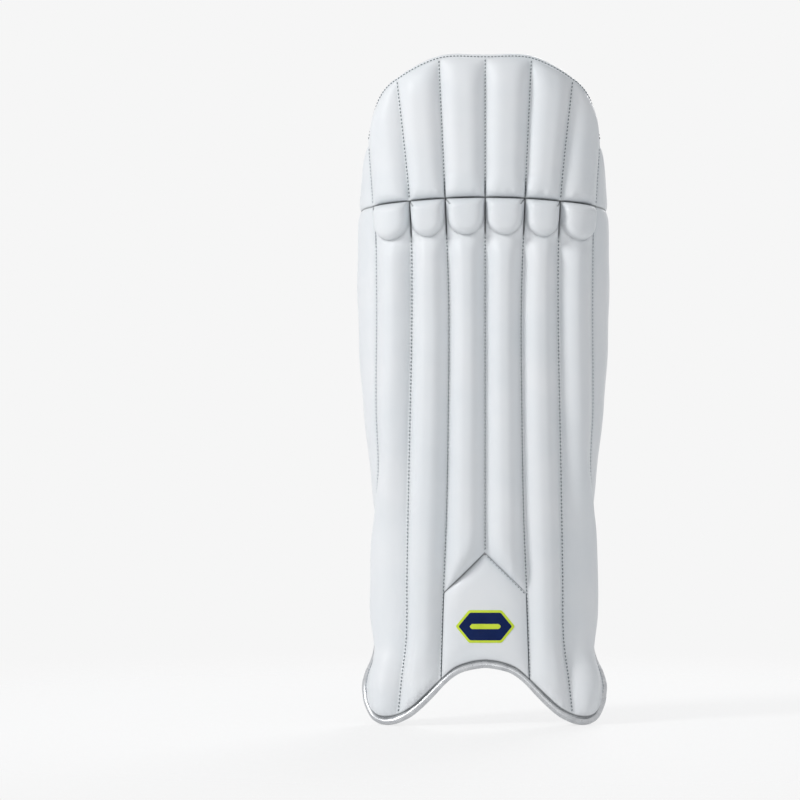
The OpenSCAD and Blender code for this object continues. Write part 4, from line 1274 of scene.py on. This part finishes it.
def build_bolster():
    u = np.linspace(-1, 1, 210)
    u = np.sign(u) * (1 - (1 - np.abs(u)) ** 1.6)
    u, v = grid(u, spaced(180, 1.4))
    z = mix(BOLSTER_LOW_Z, BOLSTER_TOP_Z, v)
    x = u * curve_at(BOLSTER_HALF, z)
    y, base, groove = bolster_y(x, z)
    # painted shade: the grooves are darkened through the crease field
    sheet(
        "shin_bolster", np.stack([x, y, z], -1), np.stack([x, base, z], -1), BOLSTER_CLOTH, x, z,
        np.clip(groove, 0, 1) ** 2, slot="lining", replaces=["bolster_core", "bolster_cover"], fill=0.8,
    )
    for side, word in SIDES:
        t, v = grid(np.linspace(0, 1, 36), np.linspace(0, 1, 120))
        z = mix(strip_low(mix(STRIP_X, 86.0, t)) + 0.5, OVERLAY_TOP_Z - 0.5, v)
        x = side * mix(STRIP_X + 0.5, strip_outer(z) - 0.5, t)
        overlay(f"mesh_ground_{word}", x, z, MESH_DARK, "mesh", [f"mesh_strip_{word}"], thick=0.35)
        perforated(f"mesh_net_{word}", side)
        build_hem(f"mesh_hem_{word}", side)
    band = np.linspace(-BAND_X, BAND_X, 61)
    x, v = grid(band, spaced(110, 1.1))
    overlay("navy_band", x, mix(band_low(x), OVERLAY_TOP_Z, v), NAVY, "navy_satin", ["center_band"])
    x, v = grid(band, np.linspace(0, 1, 8))
    low = band_low(x)
    overlay("lime_tip", x, mix(low - TIP_H, low - 0.2, v), LIME, "lime_satin", ["band_tip"], 0.15)
    trim = Thread()
    t = np.linspace(0, 1, 500)
    for side in (-1, 1):
        x = side * (BAND_X + 0.5) + 0 * t
        line = on_bolster(x, mix(band_low(x) - TIP_H, OVERLAY_TOP_Z, t), 0.45)
        trim.line(*line, pitch=2.6, length=2.75, radius=0.62)
    line = on_bolster(mix(-90, 90, t), OVERLAY_TOP_Z - 1.4 + 0 * t, 0.9)
    trim.line(*line, pitch=9.2, length=7.0, radius=0.42, turn=38)
    trim.build("bolster_stitches", WHITE_THREAD)


# ---- Straps, tails, tabs and rings

STRAPS = dict(upper=(418.0, 21.0, 3.6), lower=(149.5, 18.0, 9.0))
WEB_W, WEB_T = 32.0, 1.6
BEND_R, ANCHOR, POCKET = 8.0, 16.0, 3.0
BAR_R, RING_PITCH, WRAP_R = 1.8, 19.0, 4.5
PATCH_T, PATCH_GAP, SEWN_GAP = 1.1, 0.3, 0.05
TAIL_N = WEB_T + 2 * PATCH_T + 2 * SEWN_GAP + PATCH_GAP
RETURN, TAIL = 15.0, 60.0


def toward(a):
    return np.array([cos(a), sin(a)])


def mirrored(path):
    return path * np.array([-1, 1])


class Strap:
    """Plan geometry of one strap, as in the part's source."""

    def __init__(self, level):
        z, leave, reach = level
        self.z, stop = z, 180 - leave
        rear = float(curve_at(WING_REAR, z))
        span = np.degrees(ANCHOR / float(curve_at(SIDE, z)))
        self.anchor = at(rear - span * (1 - np.linspace(0, 1, 12)), z, -POCKET / 2)[:, :2]
        turn = mix(rear, stop, np.linspace(0, 1, 20)[1:])
        start = self.anchor[-1]
        self.bend = start + BEND_R * np.stack([sin(turn) - sin(rear), cos(rear) - cos(turn)], -1)
        self.heading = stop
        self.bar_a = self.bend[-1] + reach * toward(stop)
        self.bar_b = self.bar_a + RING_PITCH * toward(stop + 1.5)
        leave_dir = np.array([sin(leave), -cos(leave)])
        first = mirrored(self.bend[-1])
        d = self.bar_b - first
        self.radius = (d @ d - WRAP_R**2) / (2 * (d @ leave_dir) + 2 * WRAP_R)
        self.centre = first + self.radius * leave_dir
        self.begin = self.angle(first)
        self.fold = self.angle(self.bar_b)

    def angle(self, p):
        v = p - self.centre
        return math.degrees(math.atan2(v[1], v[0]))

    def around(self, r, a):
        a = np.asarray(a, float)
        return self.centre + np.asarray(r, float)[..., None] * np.stack([cos(a), sin(a)], -1)

    def behind(self, r, low, high, count=40):
        """Arc at distance r beyond the strap's middle, from distance low to high behind bar B."""
        a = self.fold + np.degrees(np.linspace(low, high, count) / self.radius)
        return self.around(self.radius + r + 0 * a, a)

    def path(self):
        main = self.around(self.radius + np.zeros(120), np.linspace(self.begin, self.fold, 121)[1:])
        turn = self.fold + 180 + np.linspace(8, 180, 24)
        wrap = self.bar_b + WRAP_R * np.stack([cos(turn), sin(turn)], -1)
        t = np.linspace(0, 1, 14)[1:]
        back = self.around(
            self.radius + mix(2 * WRAP_R, TAIL_N, smooth(t)), self.fold + np.degrees(RETURN * t / self.radius)
        )
        return np.concatenate([mirrored(self.anchor), mirrored(self.bend), main, wrap, back])


def ribbon(name, path, z, width, thick, mat, slot, body, replaces, loop=False, rough=0.0):
    """Flat webbing along a plan path, with woven ribs across it."""
    if loop:
        path = np.concatenate([path, path[:1]])
    path = resample(path, 0.55)[0]
    along, way = lengths(path), unit(np.gradient(path, axis=0))
    if loop:
        way[0] = way[-1] = unit(path[1] - path[-2])
        path, along, way = path[:-1], along[:-1], way[:-1]
    normal = np.stack([-way[:, 1], way[:, 0]], -1)
    half, edge = thick / 2, width / 2
    rows = np.linspace(edge - 0.9, -(edge - 0.9), 14)
    sunk, flat = np.array([half * 0.6, 0, -half * 0.6]), half + 0 * rows
    lip = np.array([edge - 0.3, edge, edge - 0.3])
    n = np.concatenate([flat, sunk, -flat, -sunk])
    w = np.concatenate([rows, -lip, rows[::-1], lip])
    depth = n[None] * (1 + 0.09 * np.sin(2 * np.pi * along / 2.2))[:, None]
    if rough:
        depth = depth + np.random.default_rng(5).uniform(-rough, rough, depth.shape)
    rings = np.zeros((len(path), len(n), 3))
    rings[..., :2] = path[:, None] + normal[:, None] * depth[..., None]
    rings[..., 2] = z + w[None]
    return swept(name, rings, mat, w, along, loop, slot=slot, body=body, replaces=replaces, sharp=60)


def cross_stitches(name, point, up, z, body="root"):
    """A line of stitches straight across a strap."""
    w = np.linspace(-WEB_W / 2 + 2, WEB_W / 2 - 2, 60)
    line = np.stack([point[0] + 0 * w, point[1] + 0 * w, z + w], -1)
    thread = Thread()
    outer = np.broadcast_to(np.array([up[0], up[1], 0.0]), line.shape)
    thread.line(line, outer, pitch=3.4, length=2.4, radius=0.38)
    thread.build(name, WHITE_THREAD, body=body)


def build_ring(name, strap, body, replaces):
    """Moulded ring: two round bars with rounded, slightly flattened ends."""
    half = WEB_W / 2 + 0.9 + BAR_R
    corners = [(0, -half), (RING_PITCH, -half), (RING_PITCH, half), (0, half)]
    line = even_loop(rounded(corners, 3.6, 7), 1.2)
    way = unit(np.roll(line, -1, 0) - np.roll(line, 1, 0))
    a = np.radians(np.arange(0, 360, 22.5))
    flat = np.clip(np.abs(way[:, :1]), 0, 1)
    reach = BAR_R * np.cos(a)[None] * (1 + 0.7 * flat * (np.cos(a) > 0))
    depth = BAR_R * np.sin(a)[None] * (1 - 0.12 * flat)
    side = np.stack([way[:, 1], -way[:, 0]], -1)
    local = line[:, None] + side[:, None] * reach[..., None]
    turn = math.degrees(math.atan2(*(strap.bar_b - strap.bar_a)[::-1]))
    rings = np.zeros((*depth.shape, 3))
    rings[..., :2] = strap.bar_a + local[..., :1] * toward(turn) + depth[..., None] * toward(turn + 90)
    rings[..., 2] = strap.z + local[..., 1]
    swept(name, rings, RING, loop=True, slot="ring_plastic", body=body, replaces=replaces)


def build_straps():
    for word, level in STRAPS.items():
        strap = Strap(level)
        tail_body = f"{word}_tail"
        first = RETURN + PATCH_GAP

        def web(name, path, *nodes, body="root", loop=False):
            ribbon(f"{word}_{name}", path, strap.z, WEB_W, WEB_T, WEBBING, "webbing", body,
                   [f"{word}_{node}" for node in nodes], loop)

        def tape(kind, layers, mat, body):
            r = WEB_T / 2 + SEWN_GAP + layers * PATCH_T + (PATCH_GAP if layers > 1 else 0)
            ribbon(f"{word}_{kind}_tape", strap.behind(r, first + 4, first + TAIL - 6), strap.z, WEB_W - 6,
                   PATCH_T, mat, "hook_and_loop", body, [f"{word}_{kind}_patch"], rough=0.12)

        web("web", strap.path(), "strap")
        way = toward(strap.heading)
        web("tab_web", np.concatenate([strap.anchor, strap.bend, [strap.bar_a - (BAR_R + 0.9) * way]]), "tab")
        turn = np.linspace(0, 360, 60, endpoint=False)
        eye = (BAR_R + 0.1 + WEB_T / 2) * np.stack([cos(turn), sin(turn)], -1)
        web("tab_eye", strap.bar_a + eye, loop=True)
        web("tail_web", strap.behind(TAIL_N, first, first + TAIL), "tail", body=tail_body)
        tape("loop", 0.5, LOOPS, "root")
        tape("hook", 1.5, HOOKS, tail_body)
        build_ring(f"{word}_ring_loop", strap, f"{word}_ring", [f"{word}_ring"])
        up = -np.array([-way[1], way[0]])
        cross_stitches(f"{word}_strap_stitches", strap.bend[-3] + up * (WEB_T / 2 + 0.1), up, strap.z)
        end = first + TAIL - 3.5
        p = strap.behind(TAIL_N + WEB_T / 2 + 0.1, end, end, 1)[0]
        cross_stitches(f"{word}_tail_stitches", p, unit(p - strap.centre), strap.z, tail_body)


# ---- Badge: a plain sewn-on hexagon on the instep

BADGE_Z = 97.5


def build_patch(name, corners, radius, lift, thick, mat, slot):
    """Flat sewn patch that follows the instep panel, lift above its surface."""
    outline = even_loop(rounded(corners, radius, 5), 1.0)
    layers = []
    for extra in (0.0, thick):
        scales = np.array([0.15, 0.4, 0.7, 0.93, 1.0])
        flat = scales[:, None, None] * outline[None]
        s, z = flat[..., 0], BADGE_Z + flat[..., 1]
        c = channel_at_arc(s, z)
        soft = extra * np.array([1, 1, 1, 1, 0.5])[:, None]
        layers.append(at(heading_at(s, z), z, instep_surface(c, z)[0] + lift + soft))
    rows, cols = layers[0].shape[:2]
    count = rows * cols
    index = np.arange(count).reshape(rows, cols)
    after = np.roll(index, -1, 1)
    quads = np.stack([index[:-1], index[1:], after[1:], after[:-1]], -1).reshape(-1, 4)
    rim = np.stack([index[-1], index[-1] + count, after[-1] + count, after[-1]], -1)
    centre = index[0][None]
    points = np.concatenate([layer.reshape(-1, 3) for layer in layers])
    faces = [quads[:, ::-1], quads + count, rim, centre, centre[:, ::-1] + count]
    make(name, points, faces, mat, slot=slot, fields={
        "across": np.tile(outline[:, 0], 2 * rows), "along": np.tile(outline[:, 1], 2 * rows), "crease_shade": 0.0,
    })


def hexagon(width, height):
    w, h = width / 2, height / 2
    return [(-w, 0), (-w + h * 0.8, -h), (w - h * 0.8, -h), (w, 0), (w - h * 0.8, h), (-w + h * 0.8, h)]


def build_badge():
    build_patch("badge_rim", hexagon(57, 32), 1.6, 0.05, 0.6, BADGE_LIME, "lime_satin")
    build_patch("badge_field", hexagon(51, 27), 1.2, 0.60, 0.5, BADGE_BLUE, "navy_satin")
    build_patch("badge_bar", hexagon(30, 5.0), 0.8, 1.10, 0.4, BADGE_LIME, "lime_satin")


# ---- Stage


def build_floor(scene, pale):
    """Pale floor that keeps the object's shadow and fades out into the background."""
    size = 3.0
    mesh = bpy.data.meshes.new("floor")
    corners = [(x * size, y * size, 0) for x, y in ((-1, -1), (1, -1), (1, 1), (-1, 1))]
    mesh.from_pydata(corners, [], [(0, 1, 2, 3)])
    floor = bpy.data.objects.new("floor", mesh)
    scene.collection.objects.link(floor)
    s = Shader("pale_floor", Base_Color=srgb(236, 236, 236), Roughness=0.9, Specular_IOR_Level=0.1)
    any_ray = s.seen_ray()
    glow = s.feed(s.node("Emission"), {"Color": pale, "Strength": 1.09})
    lit = s.mixed(s.times(any_ray, 0.72), s.bsdf.outputs[0], glow.outputs[0])
    far = s.feed(s.node("VectorMath", operation="LENGTH"), {0: s.node("TexCoord").outputs["Object"]})
    fade = s.span(far.outputs["Value"], 0.35, 1.15)
    fade.node.interpolation_type = "SMOOTHSTEP"
    edge = s.mixed(s.times(fade, any_ray), lit, s.node("BsdfTransparent").outputs[0])
    s.feed(s.tree.nodes["Material Output"], {"Surface": edge})
    mesh.materials.append(s.mat)


def build_stage():
    scene = bpy.context.scene
    scene.view_settings.view_transform = "Standard"
    pale = srgb(246, 246, 246)
    build_floor(scene, pale)
    scene.world = bpy.data.worlds.new("studio")
    scene.world.use_nodes = True
    w = Nodes(scene.world.node_tree)
    w.tree.nodes.clear()
    soft = w.feed(w.node("Background"), {"Color": (0.95, 0.97, 1.0, 1), "Strength": 0.44})
    shown = w.feed(w.node("Background"), {"Color": pale})
    w.feed(w.node("OutputWorld"), {"Surface": w.mixed(w.seen_ray(), soft.outputs[0], shown.outputs[0])})
    aim = Vector((0, 0, 0.33))
    for name, place, width, watts in (
        ("key", (-2.7, -1.7, 2.15), 1.0, 60),
        ("front", (0.6, -3.2, 1.2), 1.6, 9),
        ("back", (0.7, 2.9, 1.7), 1.4, 54),
    ):
        data = bpy.data.lights.new(name, "AREA")
        data.shape, data.size, data.energy = "DISK", width, watts
        lamp = bpy.data.objects.new(name, data)
        lamp.location = place
        lamp.rotation_euler = (aim - Vector(place)).to_track_quat("-Z", "Y").to_euler()
        scene.collection.objects.link(lamp)


def build_camera():
    distance, frame_width = 4.0, 0.792
    data = bpy.data.cameras.new("camera")
    data.sensor_width = 36.0
    data.lens = data.sensor_width * distance / frame_width
    camera = bpy.data.objects.new("camera", data)
    camera.location = (-0.0837, -distance - 0.05, 0.3198)
    camera.rotation_euler = (math.radians(90), 0, 0)
    bpy.context.scene.collection.objects.link(camera)
    bpy.context.scene.camera = camera


build_stage()
build_camera()
build_front()
build_front_stitches()
build_badge()
build_edges()
build_linings()
build_wings()
build_bolster()
build_straps()
